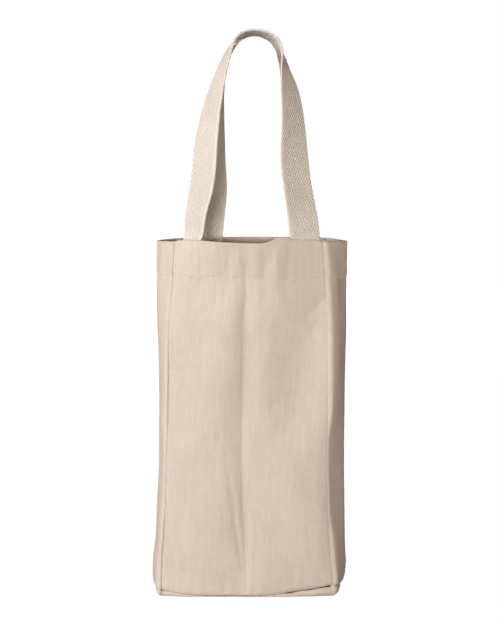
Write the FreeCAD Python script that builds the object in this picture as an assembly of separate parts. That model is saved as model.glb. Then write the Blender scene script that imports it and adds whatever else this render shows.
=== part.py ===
import FreeCAD, Part
import math
import os

# Two-bottle carrier of plain canvas: four walls, a base, a centre divider and
# two webbing handles.  Millimetres.  +Z up, +X to the right of the front wall,
# front wall towards -Y, origin on the ground under the middle of the base.

# ---------------------------------------------------------------- dimensions
BODY_H = 356.0          # rim above the ground
CLOTH_T = 1.0           # canvas thickness
HEM_DEPTH = 35.5        # turned-in hem at the rim
HEM_T = 1.3             # extra thickness of the turned-in hem, on the inside
DIVIDER_TOP = 319.0     # upper edge of the divider
WEB_W = 32.0            # webbing width
WEB_T = 2.3             # webbing thickness
HANDLE_TOP = 564.8      # middle of the webbing at the top of a handle
PIVOT_Y = 58.0          # handle swing line, in front of (behind) the middle
PIVOT_Z = 358.0
THREAD_W = 0.9          # stitched line, width and height
THREAD_T = 0.5
GAP = 0.15              # clearance between neighbouring pieces

os.makedirs("parts", exist_ok=True)


# ---------------------------------------------------------------- curves
def curve(table, t):
    """Smooth interpolation through rows (t, a, b, ...), as a tuple."""
    n = len(table)
    if t <= table[0][0]:
        return tuple(table[0][1:])
    if t >= table[-1][0]:
        return tuple(table[-1][1:])
    k = 0
    while table[k + 1][0] < t:
        k += 1
    out = []
    for c in range(1, len(table[0])):
        def slope(i):
            if i == 0:
                return (table[1][c] - table[0][c]) / (table[1][0] - table[0][0])
            if i == n - 1:
                return (table[-1][c] - table[-2][c]) / (table[-1][0] - table[-2][0])
            a = (table[i][c] - table[i - 1][c]) / (table[i][0] - table[i - 1][0])
            b = (table[i + 1][c] - table[i][c]) / (table[i + 1][0] - table[i][0])
            return 0.0 if a * b <= 0 else 2 * a * b / (a + b)
        h = table[k + 1][0] - table[k][0]
        u = (t - table[k][0]) / h
        p0, p1 = table[k][c], table[k + 1][c]
        m0, m1 = slope(k) * h, slope(k + 1) * h
        out.append((2 * u**3 - 3 * u**2 + 1) * p0 + (u**3 - 2 * u**2 + u) * m0
                   + (-2 * u**3 + 3 * u**2) * p1 + (u**3 - u**2) * m1)
    return tuple(out)


# Corner seams and the centre lines of the front and back wall: (z, x, y).
SEAM_FL = [(0, -88.8, -50.0), (26, -88.4, -43.0), (60, -86.0, -43.0), (116, -82.6, -42.0),
           (223, -80.9, -40.0), (264, -80.2, -38.0), (305, -76.9, -33.0), (358, -74.6, -28.0)]
SEAM_FR = [(0, 87.6, -41.5), (26, 85.6, -42.5), (65, 82.8, -43.0), (97, 81.2, -43.4),
           (150, 80.3, -45.0), (185, 81.7, -46.0), (250, 81.6, -45.4), (305, 78.9, -43.0), (358, 74.8, -41.0)]
SEAM_BL = [(0, -88.0, 43.5), (60, -86.0, 43.0), (116, -83.0, 42.5), (223, -81.5, 41.5),
           (305, -78.0, 40.5), (358, -75.5, 39.0)]
SEAM_BR = [(0, 88.0, 43.5), (60, 85.0, 43.0), (116, 82.5, 42.0), (223, 82.0, 40.5),
           (305, 79.0, 36.0), (358, 75.5, 30.0)]
MID_F = [(0, -0.6, -47.6), (26, -1.8, -46.6), (60, -3.8, -46.0), (101, -5.0, -46.5), (150, -6.2, -46.5),
         (200, -5.6, -46.5), (250, -4.4, -47.0), (275, -4.3, -48.0), (300, -2.2, -49.0), (312, -1.4, -50.2), (326, -2.2, -52.0),
         (340, -2.6, -55.0), (358, -2.0, -58.0)]
MID_B = [(0, 0.6, 44.0), (60, 2.0, 46.0), (101, 3.0, 46.5), (200, 3.5, 46.5), (250, 3.0, 47.0),
         (300, 2.5, 49.0), (320, 2.2, 51.0), (340, 2.0, 55.2), (358, 2.0, 58.5)]
# How far each half wall and each side wall swells out of its chord: (z, mm).
SWELL_FL = [(0, 0.4), (17, 2.7), (47, 4.9), (72, 6.0), (97, 6.7), (148, 7.0), (200, 7.1), (249, 6.8), (300, 6.2), (326, 6.2),
            (340, 7.2), (358, 8.0)]
SWELL_FR = [(0, 0.4), (17, 2.7), (47, 5.4), (72, 6.2), (97, 6.2), (123, 5.4), (148, 3.8), (173, 2.2), (198, 0.8), (224, 0.5),
            (249, 0.9), (275, 2.0), (300, 3.4), (326, 4.2), (340, 3.8), (358, 3.4)]
SWELL_B = [(0, 0.4), (26, 4.0), (60, 9.0), (116, 11.5), (200, 12.0), (264, 11.5), (305, 10.0), (330, 9.0), (358, 8.0)]
SWELL_L = [(0, 5.4), (6, 7.8), (12, 10.6), (30, 11.4), (60, 9.8), (100, 10.8), (150, 10.2), (200, 10.8), (237, 12.0),
           (264, 13.5), (300, 16.8), (358, 19.2)]
SWELL_R = [(0, 3.5), (6, 5.5), (13, 9.3), (30, 12.2), (60, 12.6), (110, 14.2), (150, 14.2), (180, 14.2), (250, 15.6),
           (300, 17.9), (330, 20.0), (358, 23.0)]
# Height of the base seam along each edge, from -1 (left or front) to 1: (s, z).
FOOT_F = [(-1, 7.5), (-0.94, 5.6), (-0.85, 4.6), (-0.7, 2.8), (-0.55, 1.9), (-0.3, 1.6), (0, 1.6), (0.2, 2.2), (0.33, 3.0), (0.45, 4.3),
          (0.56, 6.2), (0.66, 7.4), (0.75, 8.6), (0.82, 9.8), (0.89, 11.0), (1, 12.8)]
FOOT_B = [(-1, 8.0), (-0.5, 4.0), (0, 2.0), (0.5, 4.0), (1, 8.0)]
FOOT_L = [(-1, 7.5), (0, 6.0), (1, 8.0)]
FOOT_R = [(-1, 12.8), (-0.5, 9.0), (0, 6.5), (1, 8.0)]


CREASE = 0.18           # softness of the crease down the middle of the right side wall


def bulge(a, b, f, swell, soft=0.0):
    """Point at fraction f of the chord a-b, pushed out to its right by a sine arch,
    or by straight flanks with a rounded crease in the middle."""
    dx, dy = b[0] - a[0], b[1] - a[1]
    d = math.hypot(dx, dy)
    if soft:
        k = swell * (math.hypot(1, soft) - math.hypot(2 * f - 1, soft)) / (math.hypot(1, soft) - soft)
    else:
        k = swell * math.sin(math.pi * f)
    return a[0] + dx * f + dy / d * k, a[1] + dy * f - dx / d * k


def wall_front(s, z):
    if s <= 0:
        return bulge(curve(SEAM_FL, z), curve(MID_F, z), s + 1, curve(SWELL_FL, z)[0])
    return bulge(curve(MID_F, z), curve(SEAM_FR, z), s, curve(SWELL_FR, z)[0])


def wall_back(s, z):
    # s runs from the right corner to the left one, so that outside stays on the right
    if s <= 0:
        return bulge(curve(SEAM_BR, z), curve(MID_B, z), s + 1, curve(SWELL_B, z)[0])
    return bulge(curve(MID_B, z), curve(SEAM_BL, z), s, curve(SWELL_B, z)[0])


def wall_left(s, z):
    return bulge(curve(SEAM_BL, z), curve(SEAM_FL, z), (s + 1) / 2, curve(SWELL_L, z)[0])


def wall_right(s, z):
    return bulge(curve(SEAM_FR, z), curve(SEAM_BR, z), (s + 1) / 2, curve(SWELL_R, z)[0], CREASE)


WALLS = {
    "front": (wall_front, lambda s: curve(FOOT_F, s)[0]),
    "back": (wall_back, lambda s: curve(FOOT_B, -s)[0]),
    "left": (wall_left, lambda s: curve(FOOT_L, -s)[0]),
    "right": (wall_right, lambda s: curve(FOOT_R, s)[0]),
}


def level(t, foot):
    """Height at fraction t of a wall that starts at the base seam."""
    return foot + (BODY_H - foot) * t


def on_wall(name, s, t, out=0.0):
    """Point of a wall at (s, t), moved along its outward normal."""
    f, foot = WALLS[name]

    def p(ss, tt):
        z = level(tt, foot(max(-1.0, min(1.0, ss))))
        x, y = f(ss, z)
        return FreeCAD.Vector(x, y, z)

    c = p(s, t)
    e = 0.004
    a, b = max(-1.0, s - e), min(1.0, s + e)
    u = p(b, t) - p(a, t)
    v = p(s, min(1.0, t + e)) - p(s, max(0.0, t - e))
    n = u.cross(v)
    n.normalize()
    return c + n * out


# ---------------------------------------------------------------- solids
def closed_sheet(outer, inner):
    """Closed solid between two grids of points, outer seen from outside with rows upwards."""
    rows, cols = len(outer), len(outer[0])
    pts = [p for row in outer for p in row] + [p for row in inner for p in row]
    m = rows * cols

    def o(i, j):
        return i * cols + j

    tri = []

    def quad(a, b, c, d):
        tri.append((a, b, c))
        tri.append((a, c, d))

    for i in range(rows - 1):
        for j in range(cols - 1):
            quad(o(i, j), o(i, j + 1), o(i + 1, j + 1), o(i + 1, j))
            quad(m + o(i, j), m + o(i + 1, j), m + o(i + 1, j + 1), m + o(i, j + 1))
    for j in range(cols - 1):
        quad(m + o(0, j), m + o(0, j + 1), o(0, j + 1), o(0, j))
        quad(o(rows - 1, j), o(rows - 1, j + 1), m + o(rows - 1, j + 1), m + o(rows - 1, j))
    for i in range(rows - 1):
        quad(o(i, 0), o(i + 1, 0), m + o(i + 1, 0), m + o(i, 0))
        quad(m + o(i, cols - 1), m + o(i + 1, cols - 1), o(i + 1, cols - 1), o(i, cols - 1))
    shell = Part.Shape()
    shell.makeShapeFromMesh(([(p.x, p.y, p.z) for p in pts], tri), 0.0001)
    solid = Part.makeSolid(shell)
    if solid.Volume < 0:
        solid.reverse()
    return solid


NODES = {}


def keep(name, solid):
    NODES[name] = solid


# Walls: canvas with the turned-in hem along the rim.
HEM_START = (BODY_H - HEM_DEPTH - 8.0) / (BODY_H - 8.0)
T_ROWS = [0.0, 0.02, 0.05, 0.10, 0.18, 0.30, 0.43, 0.56, 0.68, 0.79, 0.87, HEM_START - 0.002, HEM_START + 0.002,
          HEM_START + 0.006, 0.93, 0.955, 0.98, 1.0]
H = CLOTH_T / 2


def wall_solid(name, cols, trim):
    """trim is how far the wall stops short of its corner seams, in units of s.
    The hem's extra thickness runs out before the corners."""
    outer, inner = [], []
    for t in T_ROWS:
        row_o, row_i = [], []
        for s in cols:
            hem = HEM_T if t > HEM_START and abs(s) < 0.9 else 0.0
            ss = max(-1 + trim, min(1 - trim, s))
            row_o.append(on_wall(name, ss, t, H))
            row_i.append(on_wall(name, ss, t, -H - hem))
        outer.append(row_o)
        inner.append(row_i)
    return closed_sheet(outer, inner)


WIDE = [-1 + i / 8.0 for i in range(17)]
NARROW = [-1 + i / 5.0 for i in range(11)]
keep("front_panel", wall_solid("front", WIDE, 0.0))
keep("back_panel", wall_solid("back", WIDE, 0.0))
# The side walls stop clear of the front and back wall.
keep("left_gusset", wall_solid("left", NARROW, 0.03))
keep("right_gusset", wall_solid("right", NARROW, 0.03))

# Base: a flat panel whose edge turns up to the base seam all round.
def rim_point(name, s):
    f, foot = WALLS[name]
    z = foot(s)
    x, y = f(s, z)
    return x, y, z


def base_outline():
    pts = []
    for name, n in (("front", 16), ("right", 8), ("back", 16), ("left", 8)):
        for i in range(n):
            pts.append(rim_point(name, -1 + 2.0 * i / n))
    return pts


def base_solid():
    ring = base_outline()
    rings_o, rings_i = [], []
    # (inset from the seam, share of the seam height)
    for inset, k in ((0.0, None), (0.8, 0.45), (3.5, 0.12), (9.0, 0.0)):
        ro, ri = [], []
        for x, y, z in ring:
            d = math.hypot(x, y)
            nx, ny = x / d, y / d
            px = x - math.copysign(min(inset, abs(x)), x) * (0.35 + 0.65 * abs(nx))
            py = y - math.copysign(min(inset, abs(y)), y) * (0.35 + 0.65 * abs(ny))
            if k is None:
                zo = z - GAP - 0.25
                ro.append(FreeCAD.Vector(px, py, zo))
                ri.append(FreeCAD.Vector(px * (1 - 1.0 / 95), py * (1 - 1.0 / 48), zo))
            else:
                zo = (z - GAP - 0.25) * k
                ro.append(FreeCAD.Vector(px, py, zo))
                ri.append(FreeCAD.Vector(px * (1 - 0.8 / 95), py * (1 - 0.8 / 48), min(zo + CLOTH_T, z - GAP - 0.25)))
        rings_o.append(ro)
        rings_i.append(ri)
    n = len(ring)
    pts, tri = [], []

    def add(row):
        k = len(pts)
        pts.extend(row)
        return k

    starts_o = [add(r) for r in rings_o]
    starts_i = [add(r) for r in rings_i]
    low = len(pts)
    pts.append(FreeCAD.Vector(0, 0, 0))
    top = len(pts)
    pts.append(FreeCAD.Vector(0, 0, CLOTH_T))
    for j in range(n):
        k = (j + 1) % n
        for r in range(len(rings_o) - 1):
            a, b = starts_o[r], starts_o[r + 1]
            tri += [(a + j, b + j, b + k), (a + j, b + k, a + k)]
            a, b = starts_i[r], starts_i[r + 1]
            tri += [(a + j, b + k, b + j), (a + j, a + k, b + k)]
        tri.append((starts_o[-1] + j, low, starts_o[-1] + k))
        tri.append((starts_i[-1] + j, starts_i[-1] + k, top))
        tri += [(starts_o[0] + j, starts_o[0] + k, starts_i[0] + k), (starts_o[0] + j, starts_i[0] + k, starts_i[0] + j)]
    shell = Part.Shape()
    shell.makeShapeFromMesh(([(p.x, p.y, p.z) for p in pts], tri), 0.0001)
    solid = Part.makeSolid(shell)
    if solid.Volume < 0:
        solid.reverse()
    return solid


keep("base_panel", base_solid())


# Divider: sewn to the centre lines of the front and back wall.
def divider_solid():
    outer, inner = [], []
    levels = [10, 30, 60, 101, 150, 200, 250, 285, 305, DIVIDER_TOP]
    for z in levels:
        f, b = curve(MID_F, z), curve(MID_B, z)
        y0, y1 = f[1] + H + GAP + 0.25, b[1] - H - GAP - 0.25
        ro, ri = [], []
        for i in range(7):
            q = i / 6.0
            x = f[0] + (b[0] - f[0]) * q + 1.6 * math.sin(math.pi * q) * math.sin(z / 70.0)
            y = y0 + (y1 - y0) * q
            ro.append(FreeCAD.Vector(x + H, y, z))
            ri.append(FreeCAD.Vector(x - H, y, z))
        outer.append(ro)
        inner.append(ri)
    return closed_sheet(outer, inner)


keep("divider", divider_solid())

# ---------------------------------------------------------------- handles
# The webbing is sewn flat against the inside of the hem; SEATS gives the middle
# of each seat in X.
SEATS = {"front_left": ("front", -59.2), "front_right": ("front", 57.0),
         "back_left": ("back", -46.6), "back_right": ("back", 53.2)}
SEAT_OFF = H + HEM_T + GAP + 0.25 + WEB_T / 2


def seat_span(key):
    """Positions s of the middle and the two edges of a seat, with its middle point and its angle from X."""
    name, x_mid = SEATS[key]
    k = 1 if name == "front" else -1
    lo, hi = -1.0, 1.0
    for _ in range(50):
        m = (lo + hi) / 2
        if (on_wall(name, m, 1.0, -SEAT_OFF).x - x_mid) * k < 0:
            lo = m
        else:
            hi = m
    s = (lo + hi) / 2
    edges = []
    for step in (-0.002, 0.002):
        q, run = s, 0.0
        p = on_wall(name, q, 1.0, -SEAT_OFF)
        while run < WEB_W / 2:
            q += step
            n = on_wall(name, q, 1.0, -SEAT_OFF)
            run += (n - p).Length
            p = n
        edges.append(q)
    a, b = on_wall(name, s - 0.05, 1.0, -SEAT_OFF), on_wall(name, s + 0.05, 1.0, -SEAT_OFF)
    turn = math.degrees(math.atan2(abs(b.y - a.y), abs(b.x - a.x)))
    return s, edges[0], edges[1], on_wall(name, s, 1.0, -SEAT_OFF), turn


SPANS = {key: seat_span(key) for key in SEATS}


# Extra turn of a webbing as it leaves the rim, and how far its middle stands off the wall there.
TWIST = {"front_left": (14.0, 3.6)}


def seat_row(key):
    more, off = TWIST.get(key, (0.0, 0.0))
    c = on_wall(SEATS[key][0], SPANS[key][0], 1.0, -SEAT_OFF - off)
    return (c.x, c.y, PIVOT_Z + 1.2, SPANS[key][4] + more)


# Middle line of each webbing, from the left seat over the top to the right
# seat: (x, y, z, turn), where turn is the angle of the webbing's width from X.
FRONT_PATH = [seat_row("front_left"), (-52.6, -36.6, 380, 48), (-46.2, -33.6, 411, 38), (-41.6, -29.4, 457, 42), (-35.4, -25.6, 495, 53),
              (-27.2, -21.6, 526, 65), (-21.0, -19.4, 543.5, 72), (-13.0, -18.0, 557.8, 83), (5.8, -17.4, HANDLE_TOP, 92),
              (18.4, -17.7, 561.4, 99), (26.8, -18.3, 555.0, 103), (32.0, -19.4, 545.6, 96), (34.8, -20.6, 535.6, 84),
              (37.4, -22.4, 523.4, 71), (40.7, -24.6, 507, 58.5), (44.4, -29.5, 472, 45.5), (46.1, -35.0, 436, 32),
              (51.6, -41.0, 398, 29), seat_row("front_right")]
BACK_PATH = [seat_row("back_left"), (-39.2, 44.0, 395, 46), (-36.7, 37.6, 436, 60), (-36.5, 31.8, 472, 64), (-34.4, 26.4, 505, 72),
             (-28.8, 22.4, 530, 81), (-21.6, 19.8, 547, 86), (-11.6, 18.2, 559.2, 88), (5.5, 17.6, HANDLE_TOP + 0.8, 90),
             (17.5, 18.0, 561.4, 88), (24.8, 18.6, 555.2, 82), (29.8, 19.8, 545.6, 76), (34.9, 22.0, 529, 70),
             (39.2, 25.2, 503, 59), (42.8, 29.4, 468, 47), (44.4, 33.4, 432, 37), (49.7, 37.6, 392, 35), seat_row("back_right")]
LEAN = math.radians(7.5)    # each loop leans in over the bag, so its outer edge stands higher


def dense(path, per):
    """Points along the path with even steps inside each span (smooth through every row)."""
    rows = [(float(i),) + tuple(r) for i, r in enumerate(path)]
    out = []
    for i in range(len(path) - 1):
        for k in range(per):
            out.append(curve(rows, i + k / float(per)))
    out.append(tuple(path[-1]))
    return out


def ribbon(path, sign, per=2):
    """Closed flat webbing along the path; sign is -1 for the front handle and 1 for the back one."""
    rows = dense(path, per)
    pts = [FreeCAD.Vector(*r[:3]) for r in rows]
    n = len(rows)
    up_o, up_i = [], []
    top = max(range(n), key=lambda i: rows[i][2])
    for i in range(n):
        t = pts[min(n - 1, i + 1)] - pts[max(0, i - 1)]
        if i in (0, n - 1):
            t = FreeCAD.Vector(0, 0, 1 if i == 0 else -1)
        t.normalize()
        a = math.radians(rows[i][3])
        w = FreeCAD.Vector(math.cos(a) * (1 if i <= top else -1), sign * math.sin(a) * math.cos(LEAN), math.sin(a) * math.sin(LEAN))
        w = w - t * w.dot(t)
        w.normalize()
        nrm = t.cross(w)
        nrm.normalize()
        up_o.append([pts[i] - w * (WEB_W / 2) + nrm * (WEB_T / 2), pts[i] + w * (WEB_W / 2) + nrm * (WEB_T / 2)])
        up_i.append([pts[i] - w * (WEB_W / 2) - nrm * (WEB_T / 2), pts[i] + w * (WEB_W / 2) - nrm * (WEB_T / 2)])
    return closed_sheet(up_o, up_i)


keep("front_handle_loop", ribbon(FRONT_PATH, -1))
keep("back_handle_loop", ribbon(BACK_PATH, 1))


# Sewn-in ends: the same webbing below the rim, flat against the inside of the hem.
def seat_solid(key):
    name = SEATS[key][0]
    s, s0, s1 = SPANS[key][:3]
    near, far = SEAT_OFF - WEB_T / 2, SEAT_OFF + WEB_T / 2
    o, i = [], []
    for t, rise in ((HEM_START + 0.006, 0.0), (0.955, 0.0), (1.0, 0.0), (1.0, 2.5)):
        up = FreeCAD.Vector(0, 0, rise)
        cols = [s0 + (s1 - s0) * k / 4.0 for k in range(5)]
        o.append([on_wall(name, c, t, -near) + up for c in cols])
        i.append([on_wall(name, c, t, -far) + up for c in cols])
    return closed_sheet(o, i)


keep("front_handle_end_left", seat_solid("front_left"))
keep("front_handle_end_right", seat_solid("front_right"))
keep("back_handle_end_left", seat_solid("back_left"))
keep("back_handle_end_right", seat_solid("back_right"))


# ---------------------------------------------------------------- stitching
def bar(points, across, out):
    """Thin bar along points; across and out are unit vectors at each point."""
    n = len(points)
    o = [[points[i] - across[i] * (THREAD_W / 2) + out[i] * THREAD_T, points[i] + across[i] * (THREAD_W / 2) + out[i] * THREAD_T]
         for i in range(n)]
    q = [[points[i] - across[i] * (THREAD_W / 2), points[i] + across[i] * (THREAD_W / 2)] for i in range(n)]
    return closed_sheet(o, q)


def frame_at(name, s, t):
    c = on_wall(name, s, t, 0)
    n = on_wall(name, s, t, 1) - c
    return c, n


def line_on_wall(name, st, off, along_z):
    pts, across, out = [], [], []
    for s, t in st:
        c, n = frame_at(name, s, t)
        pts.append(c + n * off)
        out.append(n)
        if along_z:
            a = n.cross(FreeCAD.Vector(0, 0, 1))
        else:
            a = FreeCAD.Vector(0, 0, 1) - n * n.z
        a.normalize()
        across.append(a)
    return bar(pts, across, out)


OFF = H + GAP
for name, cols, node in (("front", WIDE, "hem_thread_front"), ("back", WIDE, "hem_thread_back"),
                         ("left", NARROW, "hem_thread_left"), ("right", NARROW, "hem_thread_right")):
    lim = 0.97 if cols is WIDE else 0.9
    keep(node, line_on_wall(name, [(max(-lim, min(lim, s)), HEM_START + 0.006) for s in cols], OFF + 0.1, False))

for name, node in (("front", "divider_thread_front"), ("back", "divider_thread_back")):
    keep(node, line_on_wall(name, [(0.0, t) for t in T_ROWS if 0.02 <= t <= 0.88], OFF + 0.35, True))


# A closed rectangle of stitching at each handle seat.
def tack(name, s0, s1):
    """Rectangular frame on a wall between s0 and s1, in the hem band."""
    t0, t1 = HEM_START + 0.012, 0.985
    part = [i / 4.0 for i in range(4)]
    ring_out = [(s0 + (s1 - s0) * f, t0) for f in part] + [(s1, t0 + (t1 - t0) * f) for f in part] \
        + [(s1 - (s1 - s0) * f, t1) for f in part] + [(s0, t1 - (t1 - t0) * f) for f in part]
    ds, dt = 0.011, 0.0027
    sm, tm = (s0 + s1) / 2, (t0 + t1) / 2

    def shrink(p):
        s, t = p
        return (s + (ds if s < sm - 1e-6 else -ds if s > sm + 1e-6 else 0), t + (dt if t < tm - 1e-6 else -dt if t > tm + 1e-6 else 0))

    loops = []
    for ring in (ring_out, [shrink(p) for p in ring_out]):
        for off in (OFF + 0.3, OFF + 0.3 + THREAD_T):
            loops.append([on_wall(name, s, t, off) for s, t in ring])
    n = len(ring_out)
    pts = [p for lp in loops for p in lp]
    tri = []

    def quad(a, b, c, d):
        tri.append((a, b, c))
        tri.append((a, c, d))

    # loops: 0 outer low, 1 outer high, 2 inner low, 3 inner high
    for j in range(n):
        q = (j + 1) % n
        quad(j, q, n + q, n + j)
        quad(n + j, n + q, 3 * n + q, 3 * n + j)
        quad(3 * n + j, 3 * n + q, 2 * n + q, 2 * n + j)
        quad(2 * n + j, 2 * n + q, q, j)
    shell = Part.Shape()
    shell.makeShapeFromMesh(([(p.x, p.y, p.z) for p in pts], tri), 0.0001)
    solid = Part.makeSolid(shell)
    if solid.Volume < 0:
        solid.reverse()
    return solid


for key in SEATS:
    keep("tack_thread_" + key, tack(SEATS[key][0], SPANS[key][1] + 0.035, SPANS[key][2] - 0.035))


# Seams: the thread lies just inside each corner and along the base edge.
def corner_thread(seam):
    pts, across, out = [], [], []
    for z in (14, 30, 60, 110, 170, 230, 280, 318):
        x, y = curve(seam, z)
        c = FreeCAD.Vector(x - math.copysign(2.4, x), y - math.copysign(2.4, y), z)
        o = FreeCAD.Vector(-math.copysign(0.70711, x), -math.copysign(0.70711, y), 0)
        pts.append(c)
        out.append(o)
        across.append(o.cross(FreeCAD.Vector(0, 0, 1)))
    return bar(pts, across, out)


keep("seam_thread_front_left", corner_thread(SEAM_FL))
keep("seam_thread_front_right", corner_thread(SEAM_FR))
keep("seam_thread_back_left", corner_thread(SEAM_BL))
keep("seam_thread_back_right", corner_thread(SEAM_BR))


def foot_thread(name, lim, n):
    pts, across, out = [], [], []
    for i in range(n + 1):
        s = -lim + 2 * lim * i / n
        c, nr = frame_at(name, s, 0.0)
        nr = FreeCAD.Vector(nr.x, nr.y, 0)
        nr.normalize()
        pts.append(c - nr * 2.6 + FreeCAD.Vector(0, 0, 1.6))
        out.append(nr * -1)
        across.append(FreeCAD.Vector(0, 0, 1))
    return bar(pts, across, out)


keep("base_thread_front", foot_thread("front", 0.93, 14))
keep("base_thread_back", foot_thread("back", 0.93, 14))
keep("base_thread_left", foot_thread("left", 0.84, 8))
keep("base_thread_right", foot_thread("right", 0.84, 8))

for node, solid in NODES.items():
    bb = solid.BoundBox
    print("%-24s valid %s  volume %9.1f  x %7.1f %7.1f  y %7.1f %7.1f  z %7.1f %7.1f"
          % (node, solid.isValid(), solid.Volume, bb.XMin, bb.XMax, bb.YMin, bb.YMax, bb.ZMin, bb.ZMax))
    solid.exportStep("parts/%s.step" % node)
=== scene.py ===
import math

import bpy
import numpy as np
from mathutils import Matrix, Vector


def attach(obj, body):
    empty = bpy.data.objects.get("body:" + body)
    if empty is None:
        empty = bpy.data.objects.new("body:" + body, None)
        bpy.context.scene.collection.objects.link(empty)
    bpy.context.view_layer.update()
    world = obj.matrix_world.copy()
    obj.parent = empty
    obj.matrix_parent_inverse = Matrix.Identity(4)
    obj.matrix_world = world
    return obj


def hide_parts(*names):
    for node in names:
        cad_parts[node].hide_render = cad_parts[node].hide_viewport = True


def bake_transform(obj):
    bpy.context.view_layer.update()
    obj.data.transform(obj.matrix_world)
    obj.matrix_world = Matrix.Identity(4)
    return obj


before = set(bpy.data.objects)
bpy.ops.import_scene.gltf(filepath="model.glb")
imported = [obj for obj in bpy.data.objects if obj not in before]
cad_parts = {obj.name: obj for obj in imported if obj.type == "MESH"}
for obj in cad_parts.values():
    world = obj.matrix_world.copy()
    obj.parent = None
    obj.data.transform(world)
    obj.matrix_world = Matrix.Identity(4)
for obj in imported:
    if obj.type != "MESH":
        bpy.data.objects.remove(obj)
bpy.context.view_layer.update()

BODY_H = 356.0
CLOTH_T = 1.0
H = CLOTH_T / 2
HEM_T = 1.3             # extra thickness of the turned-in hem, on the inside
RIM_R = (CLOTH_T + HEM_T) / 2
HEM_D = 35.6            # lower edge of the hem and its stitching, below the level of the rim
STITCH_D = 33.6
DIVIDER_TOP = 319.0
WEB_W = 32.0
WEB_T = 2.3
SEAT_OFF = H + HEM_T + 0.4 + WEB_T / 2
PIVOT_Y, PIVOT_Z = 58.0, 358.0
WEAVE_P, WEAVE_Q = 2.91, 5.3     # webbing weave: pitch across, repeat along


# ---------------------------------------------------------------- curves and fields
def curve(table, t):
    """Monotone smooth interpolation through rows (t, a, b, ...); t is an array."""
    tab = np.asarray(table, float)
    T, V = tab[:, 0], tab[:, 1:]
    t = np.clip(np.asarray(t, float), T[0], T[-1])
    h = np.diff(T)
    d = np.diff(V, axis=0) / h[:, None]
    m = np.empty_like(V)
    m[0], m[-1] = d[0], d[-1]
    p = d[:-1] * d[1:]
    m[1:-1] = np.where(p > 0, 2 * p / np.where(p > 0, d[:-1] + d[1:], 1.0), 0.0)
    k = np.clip(np.searchsorted(T, t, side="left") - 1, 0, len(h) - 1)
    hk = h[k][..., None]
    u = ((t - T[k]) / h[k])[..., None]
    return ((2 * u**3 - 3 * u**2 + 1) * V[k] + (u**3 - 2 * u**2 + u) * hk * m[k]
            + (-2 * u**3 + 3 * u**2) * V[k + 1] + (u**3 - u**2) * hk * m[k + 1])


def cubic(ts, ys):
    """Natural cubic spline through (ts, ys), as a function of an array."""
    ts = np.asarray(ts, float)
    ys = np.asarray(ys, float)
    n = len(ts)
    flat = ys.reshape(n, -1)
    h = np.diff(ts)
    A = np.zeros((n, n))
    R = np.zeros((n, flat.shape[1]))
    A[0, 0] = A[-1, -1] = 1.0
    for i in range(1, n - 1):
        A[i, i - 1], A[i, i], A[i, i + 1] = h[i - 1], 2 * (h[i - 1] + h[i]), h[i]
        R[i] = 6 * ((flat[i + 1] - flat[i]) / h[i] - (flat[i] - flat[i - 1]) / h[i - 1])
    M = np.linalg.solve(A, R)

    def at(t):
        t = np.clip(np.asarray(t, float), ts[0], ts[-1])
        k = np.clip(np.searchsorted(ts, t, side="right") - 1, 0, n - 2)
        hk = h[k][..., None]
        a = ((ts[k + 1] - t) / h[k])[..., None]
        b = 1 - a
        out = a * flat[k] + b * flat[k + 1] + ((a**3 - a) * M[k] + (b**3 - b) * M[k + 1]) * hk**2 / 6
        return out.reshape(t.shape + ys.shape[1:])

    return at


def smooth01(x):
    x = np.clip(x, 0.0, 1.0)
    return x * x * (3 - 2 * x)


def waves(u, v, lo, hi, n, seed, lean=1.0):
    """Soft random undulation with wavelengths from lo to hi, about 1 in size."""
    rng = np.random.default_rng(seed)
    out = np.zeros(np.broadcast(u, v).shape)
    for _ in range(n):
        lam = math.exp(rng.uniform(math.log(lo), math.log(hi)))
        ang, ph = rng.uniform(0, math.pi), rng.uniform(0, 2 * math.pi)
        out = out + np.sin(2 * math.pi / lam * (u * math.cos(ang) + v * math.sin(ang) * lean) + ph)
    return out / math.sqrt(n / 2.0)


def ripple(a, lo, hi, n, seed):
    """Random ripple along one coordinate, about 1 in size."""
    rng = np.random.default_rng(seed)
    out = np.zeros(np.shape(a))
    for _ in range(n):
        lam = rng.uniform(lo, hi)
        out = out + np.cos(2 * math.pi * a / lam + rng.uniform(0, 2 * math.pi))
    return out / math.sqrt(n / 2.0)


def fold(X, Z, path):
    """Ridge or crease along a path of rows (x, z, height, width)."""
    p = np.asarray(path, float)
    step = np.r_[0, np.cumsum(np.hypot(np.diff(p[:, 0]), np.diff(p[:, 1])))]
    at = np.linspace(0, step[-1], 8 * len(p))
    line = np.c_[cubic(step, p[:, :2])(at), curve(np.c_[step, p[:, 2:]], at)]
    best = np.full(X.shape, 1e9)
    hgt, wid = np.zeros_like(X), np.ones_like(X)
    for a, b in zip(line[:-1], line[1:]):
        dx, dz = b[0] - a[0], b[1] - a[1]
        k = np.clip(((X - a[0]) * dx + (Z - a[1]) * dz) / (dx * dx + dz * dz), 0, 1)
        d = np.hypot(X - a[0] - k * dx, Z - a[1] - k * dz)
        near = d < best
        best = np.where(near, d, best)
        hgt = np.where(near, a[2] + (b[2] - a[2]) * k, hgt)
        wid = np.where(near, a[3] + (b[3] - a[3]) * k, wid)
    return hgt * np.exp(-(best / wid)**2)


def unit(v):
    return v / np.maximum(np.linalg.norm(v, axis=-1, keepdims=True), 1e-9)


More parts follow.
